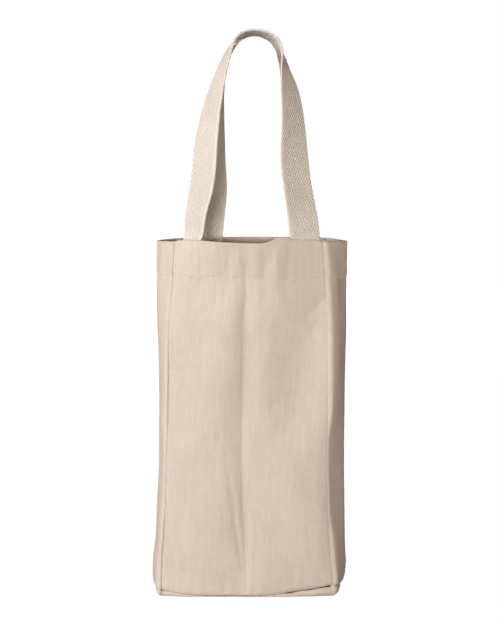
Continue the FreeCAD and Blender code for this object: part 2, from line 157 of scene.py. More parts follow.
# ---------------------------------------------------------------- the bag's lines
SEAM_FL = [(0, -88.8, -50.0), (26, -88.4, -43.0), (60, -86.0, -43.0), (116, -82.6, -42.0),
           (223, -80.9, -40.0), (264, -80.2, -38.0), (305, -76.9, -33.0), (358, -74.6, -28.0)]
SEAM_FR = [(0, 87.6, -41.5), (26, 85.6, -42.5), (65, 82.8, -43.0), (97, 81.2, -43.4),
           (150, 80.3, -45.0), (185, 81.7, -46.0), (250, 81.6, -45.4), (305, 78.9, -43.0), (358, 74.8, -41.0)]
SEAM_BL = [(0, -88.0, 43.5), (60, -86.0, 43.0), (116, -83.0, 42.5), (223, -81.5, 41.5),
           (305, -78.0, 40.5), (358, -75.5, 39.0)]
SEAM_BR = [(0, 88.0, 43.5), (60, 85.0, 43.0), (116, 82.5, 42.0), (223, 82.0, 40.5),
           (305, 79.0, 36.0), (358, 75.5, 30.0)]
MID_F = [(0, -0.6, -47.6), (26, -1.8, -46.6), (60, -3.8, -46.0), (101, -5.0, -46.5), (150, -6.2, -46.5),
         (200, -5.6, -46.5), (250, -4.4, -47.0), (275, -4.3, -48.0), (300, -2.2, -49.0), (312, -1.4, -50.2), (326, -2.2, -52.0),
         (340, -2.6, -55.0), (358, -2.0, -58.0)]
MID_B = [(0, 0.6, 44.0), (60, 2.0, 46.0), (101, 3.0, 46.5), (200, 3.5, 46.5), (250, 3.0, 47.0),
         (300, 2.5, 49.0), (320, 2.2, 51.0), (340, 2.0, 55.2), (358, 2.0, 58.5)]
SWELL_L = [(0, 5.4), (6, 7.8), (12, 10.6), (30, 11.4), (60, 9.8), (100, 10.8), (150, 10.2), (200, 10.8), (237, 12.0),
           (264, 13.5), (300, 16.8), (358, 19.2)]
SWELL_R = [(0, 3.5), (6, 5.5), (13, 9.3), (30, 12.2), (60, 12.6), (110, 14.2), (150, 14.2), (180, 14.2), (250, 15.6),
           (300, 17.9), (330, 20.0), (358, 23.0)]
FOOT_F = [(-1, 7.5), (-0.94, 5.6), (-0.85, 4.6), (-0.7, 2.8), (-0.55, 1.9), (-0.3, 1.6), (0, 1.6), (0.2, 2.2), (0.33, 3.0), (0.45, 4.3),
          (0.56, 6.2), (0.66, 7.4), (0.75, 8.6), (0.82, 9.8), (0.89, 11.0), (1, 12.8)]
FOOT_B = [(-1, 8.0), (-0.5, 4.0), (0, 2.0), (0.5, 4.0), (1, 8.0)]
FOOT_L = [(-1, 7.5), (0, 6.0), (1, 8.0)]
FOOT_R = [(-1, 12.8), (-0.5, 9.0), (0, 6.5), (1, 8.0)]
# How far the rim stands above its level, along each wall.
RIM_F = [(-1, 1.2), (-0.88, 3.0), (-0.6, 3.2), (-0.45, 2.6), (-0.3, 1.9), (-0.1, 1.2), (0.05, 1.0), (0.16, 1.0), (0.225, 1.1), (0.265, 1.5),
         (0.29, 2.0), (0.322, 3.0), (0.342, 4.0), (0.357, 4.9), (0.376, 5.7), (0.41, 6.3), (0.45, 6.8), (0.50, 7.0), (0.54, 6.7), (0.575, 5.5),
         (0.60, 4.5), (0.75, 4.2), (0.92, 3.6), (1, 2.4)]
RIM_B = [(-1, 1.2), (-0.5, 1.8), (0, 1.8), (0.5, 2.2), (1, 2.6)]
RIM_LEFT = [(-1, 1.2), (0, 0.5), (1, 1.2)]
RIM_RIGHT = [(-1, 2.4), (0, 1.2), (1, 2.6)]

# Outline of the two front bulges, outwards of the lines from the corner seams to the
# middle seam: positions across, then one row per height.
LOBE_L = [-1, -0.9, -0.7, -0.5, -0.36, -0.24, -0.12, -0.05, 0]
LOBE_R = [0, 0.05, 0.1, 0.2, 0.3, 0.4, 0.6, 0.8, 0.93, 1]
FRONT = [
    (0, [0, .1, .3, .4, .4, .3, .2, .1, 0], [0, .1, .2, .3, .4, .4, .3, .2, .1, 0]),
    (17, [0, .7, 1.8, 2.5, 2.7, 2.2, 1.2, .5, 0], [0, .7, 1.3, 2.1, 2.5, 2.7, 2.6, 1.9, 1.0, 0]),
    (47, [0, 1.0, 2.9, 4.4, 4.9, 4.6, 3.2, 1.6, 0], [0, 1.3, 2.2, 3.6, 4.5, 5.2, 5.7, 4.6, 2.4, 0]),
    (72, [0, 1.3, 3.8, 5.6, 6.0, 5.5, 3.8, 1.8, 0], [0, 1.3, 2.3, 3.8, 5.0, 5.8, 6.1, 5.0, 2.9, 0]),
    (97, [0, 1.6, 4.4, 6.4, 6.7, 6.2, 4.2, 2.0, 0], [0, 1.3, 2.2, 3.6, 4.8, 5.7, 6.2, 5.3, 3.3, 0]),
    (123, [0, 1.8, 5.0, 6.8, 6.9, 6.4, 4.3, 2.2, 0], [0, 1.5, 2.2, 3.3, 4.2, 4.9, 5.3, 4.4, 2.4, 0]),
    (148, [0, 1.9, 5.2, 7.0, 7.0, 6.2, 4.1, 2.0, 0], [0, 1.4, 2.3, 2.8, 2.9, 3.2, 3.7, 3.5, 1.9, 0]),
    (173, [0, 1.5, 4.3, 6.4, 7.1, 6.6, 4.4, 2.1, 0], [0, 1.7, 2.5, 3.3, 3.0, 2.1, 1.0, 1.7, 1.1, 0]),
    (198, [0, 1.2, 3.6, 5.9, 7.1, 6.9, 4.7, 2.3, 0], [0, 1.6, 2.4, 3.2, 2.6, .8, -2.0, -.6, 0, 0]),
    (224, [0, 1.2, 3.6, 5.9, 7.0, 6.8, 5.1, 2.7, 0], [0, 1.6, 2.3, 3.4, 2.7, .8, -3.1, -1.8, -.4, 0]),
    (249, [0, 1.2, 3.6, 5.8, 6.8, 6.7, 5.1, 2.8, 0], [0, 1.6, 2.6, 4.1, 3.7, 2.3, -1.9, -2.7, -.8, 0]),
    (275, [0, 1.2, 3.6, 5.6, 6.5, 6.6, 5.4, 3.0, 0], [0, 1.4, 2.8, 4.3, 4.5, 3.3, .4, -2.2, -1.2, 0]),
    (300, [0, 1.4, 3.9, 5.5, 5.9, 5.5, 4.0, 2.2, 0], [0, 1.5, 2.5, 4.1, 4.6, 4.7, 3.2, .3, -1.3, 0]),
    (313, [0, 1.5, 4.0, 5.2, 5.2, 4.6, 3.0, 1.4, 0], [0, 1.4, 2.5, 4.3, 5.1, 5.2, 3.8, 1.5, .2, 0]),
    (326, [0, 1.9, 4.9, 6.0, 5.6, 4.5, 2.5, 1.1, 0], [0, 1.2, 2.3, 4.0, 5.0, 5.1, 3.9, 2.0, .7, 0]),
    (340, [0, 2.3, 5.9, 7.2, 6.6, 5.1, 2.7, 1.1, 0], [0, .9, 1.9, 3.4, 4.4, 4.4, 3.2, 1.6, .6, 0]),
    (358, [0, 2.5, 6.5, 8.0, 7.2, 5.5, 2.9, 1.2, 0], [0, .8, 1.6, 2.9, 3.7, 3.7, 2.6, 1.3, .5, 0]),
]
BACK = [
    (0, [0, .1, .3, .4, .4, .3, .2, .1, 0], [0, .1, .2, .3, .4, .4, .3, .2, .1, 0]),
    (17, [0, .8, 2.0, 2.7, 2.7, 2.2, 1.2, .5, 0], [0, .5, 1.0, 1.9, 2.5, 2.7, 2.3, 1.3, .5, 0]),
    (60, [0, 2.0, 5.6, 8.0, 8.6, 7.6, 4.4, 1.9, 0], [0, 2.0, 3.9, 6.8, 8.2, 8.4, 7.0, 4.2, 1.6, 0]),
    (116, [0, 2.4, 6.6, 9.6, 10.2, 9.0, 5.2, 2.2, 0], [0, 2.4, 4.7, 8.2, 10.0, 10.2, 8.2, 4.8, 1.9, 0]),
    (200, [0, 2.2, 6.2, 9.4, 10.6, 9.4, 5.4, 2.3, 0], [0, 2.5, 4.9, 8.6, 10.4, 10.4, 8.0, 4.6, 1.8, 0]),
    (264, [0, 2.3, 6.4, 9.4, 10.2, 8.8, 5.0, 2.1, 0], [0, 2.3, 4.6, 8.2, 9.8, 9.8, 7.8, 4.6, 1.8, 0]),
    (305, [0, 2.5, 6.8, 9.2, 9.2, 7.6, 4.2, 1.8, 0], [0, 1.9, 3.8, 6.8, 8.6, 9.2, 8.0, 4.8, 1.9, 0]),
    (330, [0, 2.6, 6.9, 8.7, 8.0, 6.2, 3.3, 1.4, 0], [0, 1.4, 2.8, 5.3, 7.2, 8.2, 7.9, 4.9, 1.9, 0]),
    (358, [0, 2.5, 6.5, 8.0, 7.2, 5.5, 2.9, 1.2, 0], [0, 1.2, 2.5, 4.7, 6.5, 7.6, 7.6, 4.7, 1.7, 0]),
]

# Folds of the front wall: rows (x, z, height, width).
FOLDS_FRONT = [
    [(62, 292, -0.1, 5), (51, 275, -0.3, 6), (45, 250, -0.4, 7), (38, 225, -0.4, 8), (27, 199, -0.4, 8), (15, 174, -0.2, 8), (7, 150, 0, 8)],
    [(82, 308, 0, 3), (78, 304, -0.8, 3), (73, 298, -1.2, 3.2), (66, 291, -1.1, 3.2), (60, 283, -0.7, 3.5), (55, 273, -0.3, 4), (51, 264, 0, 5)],
    [(80, 296, 0.3, 4), (76, 286, 0.5, 4), (73, 277, 0.3, 4.5), (69, 264, 0, 6)],
    [(76, 284, 0, 3), (71, 279, -0.5, 2.6), (67, 274, -0.6, 2.6), (63, 268, -0.3, 3), (60, 262, 0, 3)],
    [(-24, 150, 0, 4), (-19, 125, -0.5, 3.2), (-15.2, 102, -1.0, 2.6), (-12.2, 72, -1.2, 2.3), (-8.8, 48, -1.0, 2.3), (-5.2, 27, -0.6, 2.5), (-3.5, 12, -0.2, 3)],
    [(-11.5, 122, 0, 2.4), (-9.3, 98, 0.6, 2.2), (-7.2, 72, 0.7, 2.2), (-4.3, 45, 0.4, 2.0), (-2.5, 24, 0.15, 2)],
    [(-17.4, 353, 0, 1.8), (-17.6, 344, -0.25, 1.8), (-17.4, 330, -0.3, 2.0), (-19, 312, -0.2, 2.6), (-20, 296, 0, 3)],
    [(-3, 354, -0.25, 3.0), (-3.5, 336, -0.35, 3.0), (-3, 322, -0.3, 3)],
    [(9, 352, 0.35, 4.5), (8.5, 334, 0.55, 4.5), (6, 316, 0.3, 5), (4, 300, 0, 5)],
    [(21, 352, -0.35, 4), (17.5, 334, -0.6, 4), (17, 316, -0.3, 4.5), (19, 300, 0, 5)],
    [(31, 353, 0.35, 4.5), (28.5, 336, 0.55, 4.5), (27, 318, 0.3, 5), (28, 300, 0, 6)],
    [(43, 354, -0.4, 3.2), (40.5, 340, -0.65, 3), (39.5, 330, -0.55, 3), (37, 318, -0.2, 4)],
]
FOLDS_BACK = [
    [(-58, 300, 0, 5), (-50, 262, -0.9, 7), (-46, 214, -1.0, 9), (-40, 170, 0, 10)],
    [(52, 308, 0, 4), (46, 280, -0.8, 6), (38, 236, -0.8, 8), (34, 190, 0, 9)],
    [(16, 130, 0, 3), (13, 92, -0.9, 3), (9, 52, -0.9, 3), (5, 18, 0, 3)],
    [(-26, 350, 0, 3), (-25, 336, -0.7, 3), (-22, 318, -0.4, 4), (-20, 300, 0, 5)],
    [(20, 352, 0, 3), (18, 338, 0.6, 4), (16, 318, 0, 4)],
]


# ---------------------------------------------------------------- walls
def spaced(stops):
    """Positions from rows (from, to, step)."""
    out = []
    for a, b, step in stops:
        n = max(1, int(round((b - a) / step)))
        out += list(np.linspace(a, b, n, endpoint=False))
    out.append(stops[-1][1])
    return np.array(out)


COLS_WIDE = spaced([(-1, -0.94, 0.006), (-0.94, -0.08, 0.018), (-0.08, 0.08, 0.007), (0.08, 0.94, 0.018), (0.94, 1, 0.006)])
COLS_SIDE = spaced([(-1, -0.84, 0.012), (-0.84, 0.84, 0.034), (0.84, 1, 0.012)])
ROWS = (spaced([(5, 17, 0.8), (17, 313, 2.0), (313, 332, 0.7), (332, 350, 1.6), (350, 354.85, 0.9)]) - 5) / (354.85 - 5)
LINES = {"front": (SEAM_FL, MID_F, SEAM_FR), "back": (SEAM_BR, MID_B, SEAM_BL),
         "left": (SEAM_BL, SEAM_FL), "right": (SEAM_FR, SEAM_BR)}
FEET = {"front": (FOOT_F, 1), "back": (FOOT_B, -1), "left": (FOOT_L, -1), "right": (FOOT_R, 1)}
RIMS = {"front": (RIM_F, 1), "back": (RIM_B, -1), "left": (RIM_LEFT, -1), "right": (RIM_RIGHT, 1)}
# Roll of each side wall beside its corner seams, by height: how far it stands out, and its length.
LIP_R = [(0, 4.2, 2.2), (20, 4.8, 2.4), (50, 4.6, 2.6), (68, 3.0, 2.6), (82, 1.0, 2.8), (124, 0.4, 3.0), (150, 0.4, 3.2),
         (168, 1.4, 3.2), (184, 4.4, 3.4), (204, 6.0, 3.4), (300, 6.6, 3.4), (326, 6.2, 3.4), (358, 5.4, 3.4)]
LIP_L = [(0, 2.6, 2.0), (30, 3.4, 2.2), (120, 2.8, 2.2), (240, 2.8, 2.4), (358, 2.8, 2.4)]
CUT_R = [(0, 1.6), (16, 2.6), (92, 2.6), (118, 1.4), (358, 1.2)]     # groove along the right corner seam, by height
# How far the base seam of the front wall gapes, along the wall.
GAPE = [(-1, 1.3), (-0.95, 0.9), (-0.88, 0.1), (-0.8, 0), (0.34, 0), (0.42, 0.7), (0.5, 1.5), (0.56, 1.1), (0.63, 0.5), (0.72, 1.0),
        (0.8, 0.7), (0.9, 1.2), (1, 1.6)]
CUT_L = [(0, 2.4), (12, 2.2), (24, 1.2), (358, 1.2)]
CREASE = 0.18            # softness of the crease down the right side wall
LIP_B = [(0, 2.8, 2.4), (100, 3.4, 2.8), (358, 3.2, 2.8)]


def lobes(table, cols, Z):
    zs = np.array([r[0] for r in table], float)
    W = []
    for _, left, right in table:
        wl = cubic(LOBE_L, left)(np.minimum(cols, 0))
        wr = cubic(LOBE_R, right)(np.maximum(cols, 0))
        W.append(np.where(cols <= 0, wl, wr))
    W = np.array(W)
    return np.stack([curve(np.c_[zs, W[:, j]], Z[:, j])[:, 0] for j in range(len(cols))], axis=1)


def arch(f, soft):
    """Outline across a side wall: rounded (soft 0 gives a sine), or straight to a rounded crease in the middle."""
    if not soft:
        return np.sin(math.pi * f)
    return (math.hypot(1, soft) - np.hypot(2 * f - 1, soft)) / (math.hypot(1, soft) - soft)


def hem_shape(D, along, seed, k):
    """Turned hem: the band stands proud of the wall, its stitching pulls a groove and small puckers."""
    proud = 0.55 * k * smooth01((STITCH_D + 1.2 - D) / 2.2)
    groove = -0.4 * k * np.exp(-((D - STITCH_D) / 0.9)**2)
    pucker = 0.11 * ripple(along, 7, 16, 7, seed) * np.exp(-np.abs(D - STITCH_D) / 5.0)
    hang = 0.2 * ripple(along, 15, 34, 6, seed + 1) * np.exp(-np.maximum(D - STITCH_D, 0) / 26.0) * smooth01(D / 20.0)
    return proud + groove + pucker + hang


def wall_grid(name):
    cols = COLS_WIDE if name in ("front", "back") else COLS_SIDE
    foot_t, k = FEET[name]
    rim_t, kr = RIMS[name]
    foot = curve(foot_t, k * cols)[:, 0]
    top = BODY_H - RIM_R + curve(rim_t, kr * cols)[:, 0]
    Z = foot[None, :] + (top - foot)[None, :] * ROWS[:, None]
    S = np.broadcast_to(cols[None, :], Z.shape)
    D = BODY_H - Z                        # below the level of the rim
    U = Z - foot[None, :]                 # above the base seam
    if name in ("front", "back"):
        A, M, B = (curve(t, Z) for t in LINES[name])
        left = (S <= 0)[..., None]
        a, b = np.where(left, A, M), np.where(left, M, B)
        f = np.where(S <= 0, S + 1, S)
        along = 1.0
        edge = (1 - np.abs(S)) * 84.0
        base = a + (b - a) * f[..., None]
        X = base[..., 0]
        out = lobes(FRONT if name == "front" else BACK, cols, Z)
        folds = FOLDS_FRONT if name == "front" else FOLDS_BACK
        for p in folds:
            out = out + fold(X, Z, p)
        sd = 11 if name == "front" else 51
        mid = np.abs(X - M[..., 0])
        seam = smooth01((DIVIDER_TOP - Z) / 8.0) * smooth01((U - 1) / 6.0)
        out = out - 0.45 * np.exp(-mid / 0.9) * seam
        out = out + 0.13 * ripple(Z, 7, 15, 7, sd) * np.exp(-mid / 6.0) * seam
        out = out + 0.06 * ripple(Z, 9, 22, 7, sd + 1) * np.exp(-edge / 6.0)
        out = out + 0.4 * ripple(X, 7, 17, 7, sd + 2) * np.exp(-U / 9.0) * smooth01(U / 3.0) * np.exp(-(X / 70)**2)
        out = out + 0.34 * waves(X, Z, 26, 70, 14, sd + 3, 0.45) + 0.05 * waves(X, Z, 5, 12, 18, sd + 4, 0.6)
        out = out + 0.07 * waves(X, Z, 12, 26, 16, sd + 6, 0.5)
        out = out + hem_shape(D, X, sd + 5, 0.6)
        cut = np.where(S > 0, curve(CUT_R, Z)[..., 0], curve(CUT_L, Z)[..., 0]) if name == "front" else 1.2
        gape = curve(GAPE, S)[..., 0] if name == "front" else 0.0
        out = out - cut * np.exp(-edge / 1.1) - (1.25 + gape) * np.exp(-U / 1.3)
    else:
        a, b = (curve(t, Z) for t in LINES[name])
        f = (S + 1) / 2
        L = np.linalg.norm(b - a, axis=-1)
        d0, d1 = f * L, (1 - f) * L
        swell = curve(SWELL_L if name == "left" else SWELL_R, Z)[..., 0]
        front, back = curve(LIP_L if name == "left" else LIP_R, Z), curve(LIP_B, Z)
        r0, r1 = (back, front) if name == "left" else (front, back)
        l0, l1 = r0[..., 0], r1[..., 0]
        roll = l0 * (1 - np.exp(-d0 / r0[..., 1])) * (1 - f) + l1 * (1 - np.exp(-d1 / r1[..., 1])) * f
        out = (swell - (l0 + l1) / 2) * arch(f, 0.0 if name == "left" else CREASE) + roll
        # the roll also leans over its seam
        along = 0.26 * (np.minimum(l1, 3.2) * np.exp(-((d1 - 1.9) / 1.5)**2) - np.minimum(l0, 3.2) * np.exp(-((d0 - 1.9) / 1.5)**2))
        if name == "right":
            along = along - 0.22 * l0 * (d0 / 2.0) * np.exp(1 - d0 / 2.0)
        Y = (a + (b - a) * f[..., None])[..., 1]
        sd = 91 if name == "left" else 131
        edge = np.minimum(d0, d1)
        out = out + 0.06 * ripple(Z, 9, 22, 7, sd + 1) * np.exp(-edge / 6.0)
        out = out + 0.4 * ripple(Y, 7, 16, 7, sd + 2) * np.exp(-U / 9.0) * smooth01(U / 3.0)
        out = out + 0.24 * waves(Y, Z, 24, 70, 12, sd + 3, 0.4) * smooth01(edge / 10.0) + 0.05 * waves(Y, Z, 5, 12, 18, sd + 4, 0.6)
        out = out + hem_shape(D, Y, sd + 5, 1.0)
        out = out - 1.0 * np.exp(-edge / 0.8) - 1.25 * np.exp(-U / 1.3)
        base = a + (b - a) * f[..., None] + unit(b - a) * along[..., None]
    dirn = unit(b - a)
    P = np.dstack([base[..., 0] + dirn[..., 1] * out, base[..., 1] - dirn[..., 0] * out, Z])
    du = np.empty_like(P)
    du[:, 1:-1] = P[:, 2:] - P[:, :-2]
    du[:, 0], du[:, -1] = P[:, 1] - P[:, 0], P[:, -1] - P[:, -2]
    dv = np.empty_like(P)
    dv[1:-1] = P[2:] - P[:-2]
    dv[0], dv[-1] = P[1] - P[0], P[-1] - P[-2]
    N = unit(np.cross(unit(du), unit(dv)))
    return {"s": cols, "t": ROWS, "P": P, "N": N, "D": D, "foot": foot, "top": top}


WALL = {n: wall_grid(n) for n in ("front", "back", "left", "right")}


def on_wall(name, s, t, out=0.0):
    """Points of a wall at (s, t), moved along the outward normal, and those normals."""
    g = WALL[name]
    s, t = np.broadcast_arrays(np.asarray(s, float), np.asarray(t, float))
    j = np.clip(np.searchsorted(g["s"], s) - 1, 0, len(g["s"]) - 2)
    i = np.clip(np.searchsorted(g["t"], t) - 1, 0, len(g["t"]) - 2)
    fs = ((s - g["s"][j]) / (g["s"][j + 1] - g["s"][j]))[..., None]
    ft = ((t - g["t"][i]) / (g["t"][i + 1] - g["t"][i]))[..., None]

    def mix(A):
        return (A[i, j] * (1 - fs) + A[i, j + 1] * fs) * (1 - ft) + (A[i + 1, j] * (1 - fs) + A[i + 1, j + 1] * fs) * ft

    n = unit(mix(g["N"]))
    return mix(g["P"]) + n * out, n


def row_at(name, depth):
    """The t of a depth below the rim, in the middle of a wall."""
    g = WALL[name]
    d = g["D"][:, g["D"].shape[1] // 2]
    return float(np.interp(-depth, -d, g["t"]))


def level(name, s, depth):
    """The t of a depth below the level of the rim, at positions s of a wall."""
    g = WALL[name]
    foot, top = np.interp(s, g["s"], g["foot"]), np.interp(s, g["s"], g["top"])
    return np.clip((BODY_H - depth - foot) / (top - foot), 0.0, 1.0)


# ---------------------------------------------------------------- meshes
def build(name, verts, quads, tris=(), uv=None, material=None):
    me = bpy.data.meshes.new(name)
    v = np.asarray(verts, float).reshape(-1, 3) * 0.001
    q = np.asarray(quads, np.int32).reshape(-1, 4)
    t = np.asarray(tris, np.int32).reshape(-1, 3)
    loops = np.concatenate([q.ravel(), t.ravel()]).astype(np.int32)
    me.vertices.add(len(v))
    me.vertices.foreach_set("co", v.astype(np.float32).ravel())
    me.loops.add(len(loops))
    me.loops.foreach_set("vertex_index", loops)
    me.polygons.add(len(q) + len(t))
    starts = np.concatenate([np.arange(len(q)) * 4, len(q) * 4 + np.arange(len(t)) * 3]).astype(np.int32)
    me.polygons.foreach_set("loop_start", starts)
    me.update(calc_edges=True)
    if uv is not None:
        layer = me.uv_layers.new(name="weave")
        layer.data.foreach_set("uv", (np.asarray(uv, float)[loops] * 0.01).astype(np.float32).ravel())
    me.polygons.foreach_set("use_smooth", np.ones(len(me.polygons), bool))
    me.validate()
    ob = bpy.data.objects.new(name, me)
    bpy.context.scene.collection.objects.link(ob)
    if material is not None:
        me.materials.append(material)
    return ob


def run_length(P, axis):
    """Mean running length of a grid along one axis."""
    d = np.linalg.norm(np.diff(P, axis=axis), axis=-1).mean(axis=1 - axis)
    return np.r_[0, np.cumsum(d)]


def cloth(name, outer, inner, turn, material):
    """Closed sheet from an outer grid over a turned edge to an inner grid; rows run upwards, columns to the right."""
    R, C = outer.shape[:2]
    loop = np.concatenate([outer, turn, inner[::-1]], axis=0)
    M = len(loop)
    idx = np.arange(M * C).reshape(M, C)
    quads = [np.stack([idx[:-1, :-1], idx[:-1, 1:], idx[1:, 1:], idx[1:, :-1]], -1).reshape(-1, 4),
             np.stack([idx[-1, :-1], idx[-1, 1:], idx[0, 1:], idx[0, :-1]], -1).reshape(-1, 4)]
    tris = []
    for c, flip in ((0, False), (C - 1, True)):
        o, n = idx[:R, c], idx[M - R:, c][::-1]
        side = np.stack([o[:-1], o[1:], n[1:], n[:-1]], -1)
        quads.append(side[:, ::-1] if flip else side)
        ring = [o[-1]] + list(idx[R:M - R, c]) + [n[-1]]
        for k in range(1, len(ring) - 1):
            tri = (ring[0], ring[k], ring[k + 1])
            tris.append(tri[::-1] if flip else tri)
    u, v = run_length(loop, 1), run_length(loop, 0)
    uv = np.stack(np.broadcast_arrays(u[None, :], v[:, None]), -1).reshape(-1, 2)
    return build(name, loop, np.concatenate(quads), tris, uv, material)


def edge_turn(o, i, up, n=5):
    """Rounded edge between the last outer and inner rows."""
    c, r = (o + i) / 2, np.linalg.norm(o - i, axis=-1, keepdims=True) / 2
    d = unit(o - i)
    a = np.linspace(0, math.pi, n + 2)[1:-1]
    return np.stack([c + r * (math.cos(x) * d + math.sin(x) * up) for x in a], axis=0)


def stitches(name, lines, material, pitch=3.1, length=2.45, dia=0.62, lift=0.02, seed=1):
    """Rows of single stitches, each a short thread that dives into the cloth at both ends; lines are (points, normals)."""
    rng = np.random.default_rng(seed)
    ring, m = 7, 7
    tau = np.linspace(0, 1, m)
    rise = np.sin(math.pi * tau)**0.55
    ang = np.linspace(0, 2 * math.pi, ring, endpoint=False)
    V, Q, T, UV = [], [], [], []
    count = 0
    for pts, nrm in lines:
        L = np.r_[0, np.cumsum(np.linalg.norm(np.diff(pts, axis=0), axis=1))]
        n = max(1, int(round(L[-1] / pitch)))
        for k in range(n):
            mid = (k + 0.5) * L[-1] / n + rng.uniform(-0.12, 0.12)
            a = mid + (tau - 0.5) * length * rng.uniform(0.92, 1.05)
            c = np.stack([np.interp(a, L, pts[:, x]) for x in range(3)], -1)
            nn = unit(np.stack([np.interp(a, L, nrm[:, x]) for x in range(3)], -1))
            t = unit(np.gradient(c, axis=0))
            b = np.cross(t, nn)
            c = c + nn * (lift + dia * 0.42 - (1 - rise) * dia * 0.95)[:, None] + b * ((tau - 0.5) * rng.uniform(0.02, 0.22))[:, None]
            r = dia / 2 * (0.6 + 0.4 * rise)
            rings = c[:, None, :] + r[:, None, None] * (np.cos(ang)[None, :, None] * b[:, None, :] + np.sin(ang)[None, :, None] * nn[:, None, :])
            V.append(rings.reshape(-1, 3))
            UV.append(np.stack(np.broadcast_arrays(a[:, None] - a[0], ang[None, :] / (2 * math.pi)), -1).reshape(-1, 2))
            idx = count + np.arange(m * ring).reshape(m, ring)
            nx = np.roll(idx, -1, axis=1)
            Q.append(np.stack([idx[:-1], idx[1:], nx[1:], nx[:-1]], -1).reshape(-1, 4))
            for e, flip in ((0, True), (m - 1, False)):
                for q in range(1, ring - 1):
                    tri = (idx[e, 0], idx[e, q], idx[e, q + 1])
                    T.append(tri if flip else tri[::-1])
            count += m * ring
    return build(name, np.concatenate(V), np.concatenate(Q), T, np.concatenate(UV), material)


# ---------------------------------------------------------------- materials
class Graph:
    """Small helper for node trees."""

    def __init__(self, tree):
        self.tree = tree

    def node(self, kind, **kw):
        n = self.tree.nodes.new(kind)
        for k, v in kw.items():
            setattr(n, k, v)
        return n

    def feed(self, value, socket):
        if isinstance(value, bpy.types.NodeSocket):
            self.tree.links.new(value, socket)
        else:
            socket.default_value = value

    def math(self, op, a, b=0.0, c=0.0):
        n = self.node("ShaderNodeMath", operation=op)
        for v, s in zip((a, b, c), n.inputs):
            self.feed(v, s)
        return n.outputs[0]

    def vec(self, x, y, z=0.0):
        n = self.node("ShaderNodeCombineXYZ")
        for v, s in zip((x, y, z), n.inputs):
            self.feed(v, s)
        return n.outputs[0]

    def noise(self, vector, scale, detail=2.0, rough=0.5):
        n = self.node("ShaderNodeTexNoise")
        self.feed(vector, n.inputs["Vector"])
        n.inputs["Scale"].default_value = scale
        n.inputs["Detail"].default_value = detail
        n.inputs["Roughness"].default_value = rough
        return n.outputs["Fac"]

    def span(self, value, a, b, c, d, kind="LINEAR"):
        n = self.node("ShaderNodeMapRange", interpolation_type=kind)
        for v, s in zip((value, a, b, c, d), n.inputs):
            self.feed(v, s)
        return n.outputs[0]

    def mix(self, fac, a, b, blend="MIX"):
        n = self.node("ShaderNodeMix", data_type="RGBA", blend_type=blend)
        self.feed(fac, n.inputs[0])
        self.feed(a, n.inputs[6])
        self.feed(b, n.inputs[7])
        return n.outputs[2]


def surface(name):
    mat = bpy.data.materials.new(name)
    mat.use_nodes = True
    g = Graph(mat.node_tree)
    g.tree.nodes.clear()
    out = g.node("ShaderNodeOutputMaterial")
    b = g.node("ShaderNodeBsdfPrincipled")
    g.tree.links.new(b.outputs[0], out.inputs[0])
    uv = g.node("ShaderNodeUVMap", uv_map="weave")
    sep = g.node("ShaderNodeSeparateXYZ")
    g.tree.links.new(uv.outputs[0], sep.inputs[0])
    u = g.math("MULTIPLY", sep.outputs[0], 100.0)
    v = g.math("MULTIPLY", sep.outputs[1], 100.0)
    return mat, g, b, u, v


def bump(g, b, height, strength, distance):
    n = g.node("ShaderNodeBump")
    n.inputs["Strength"].default_value = strength
    n.inputs["Distance"].default_value = distance
    g.feed(height, n.inputs["Height"])
    g.tree.links.new(n.outputs[0], b.inputs["Normal"])


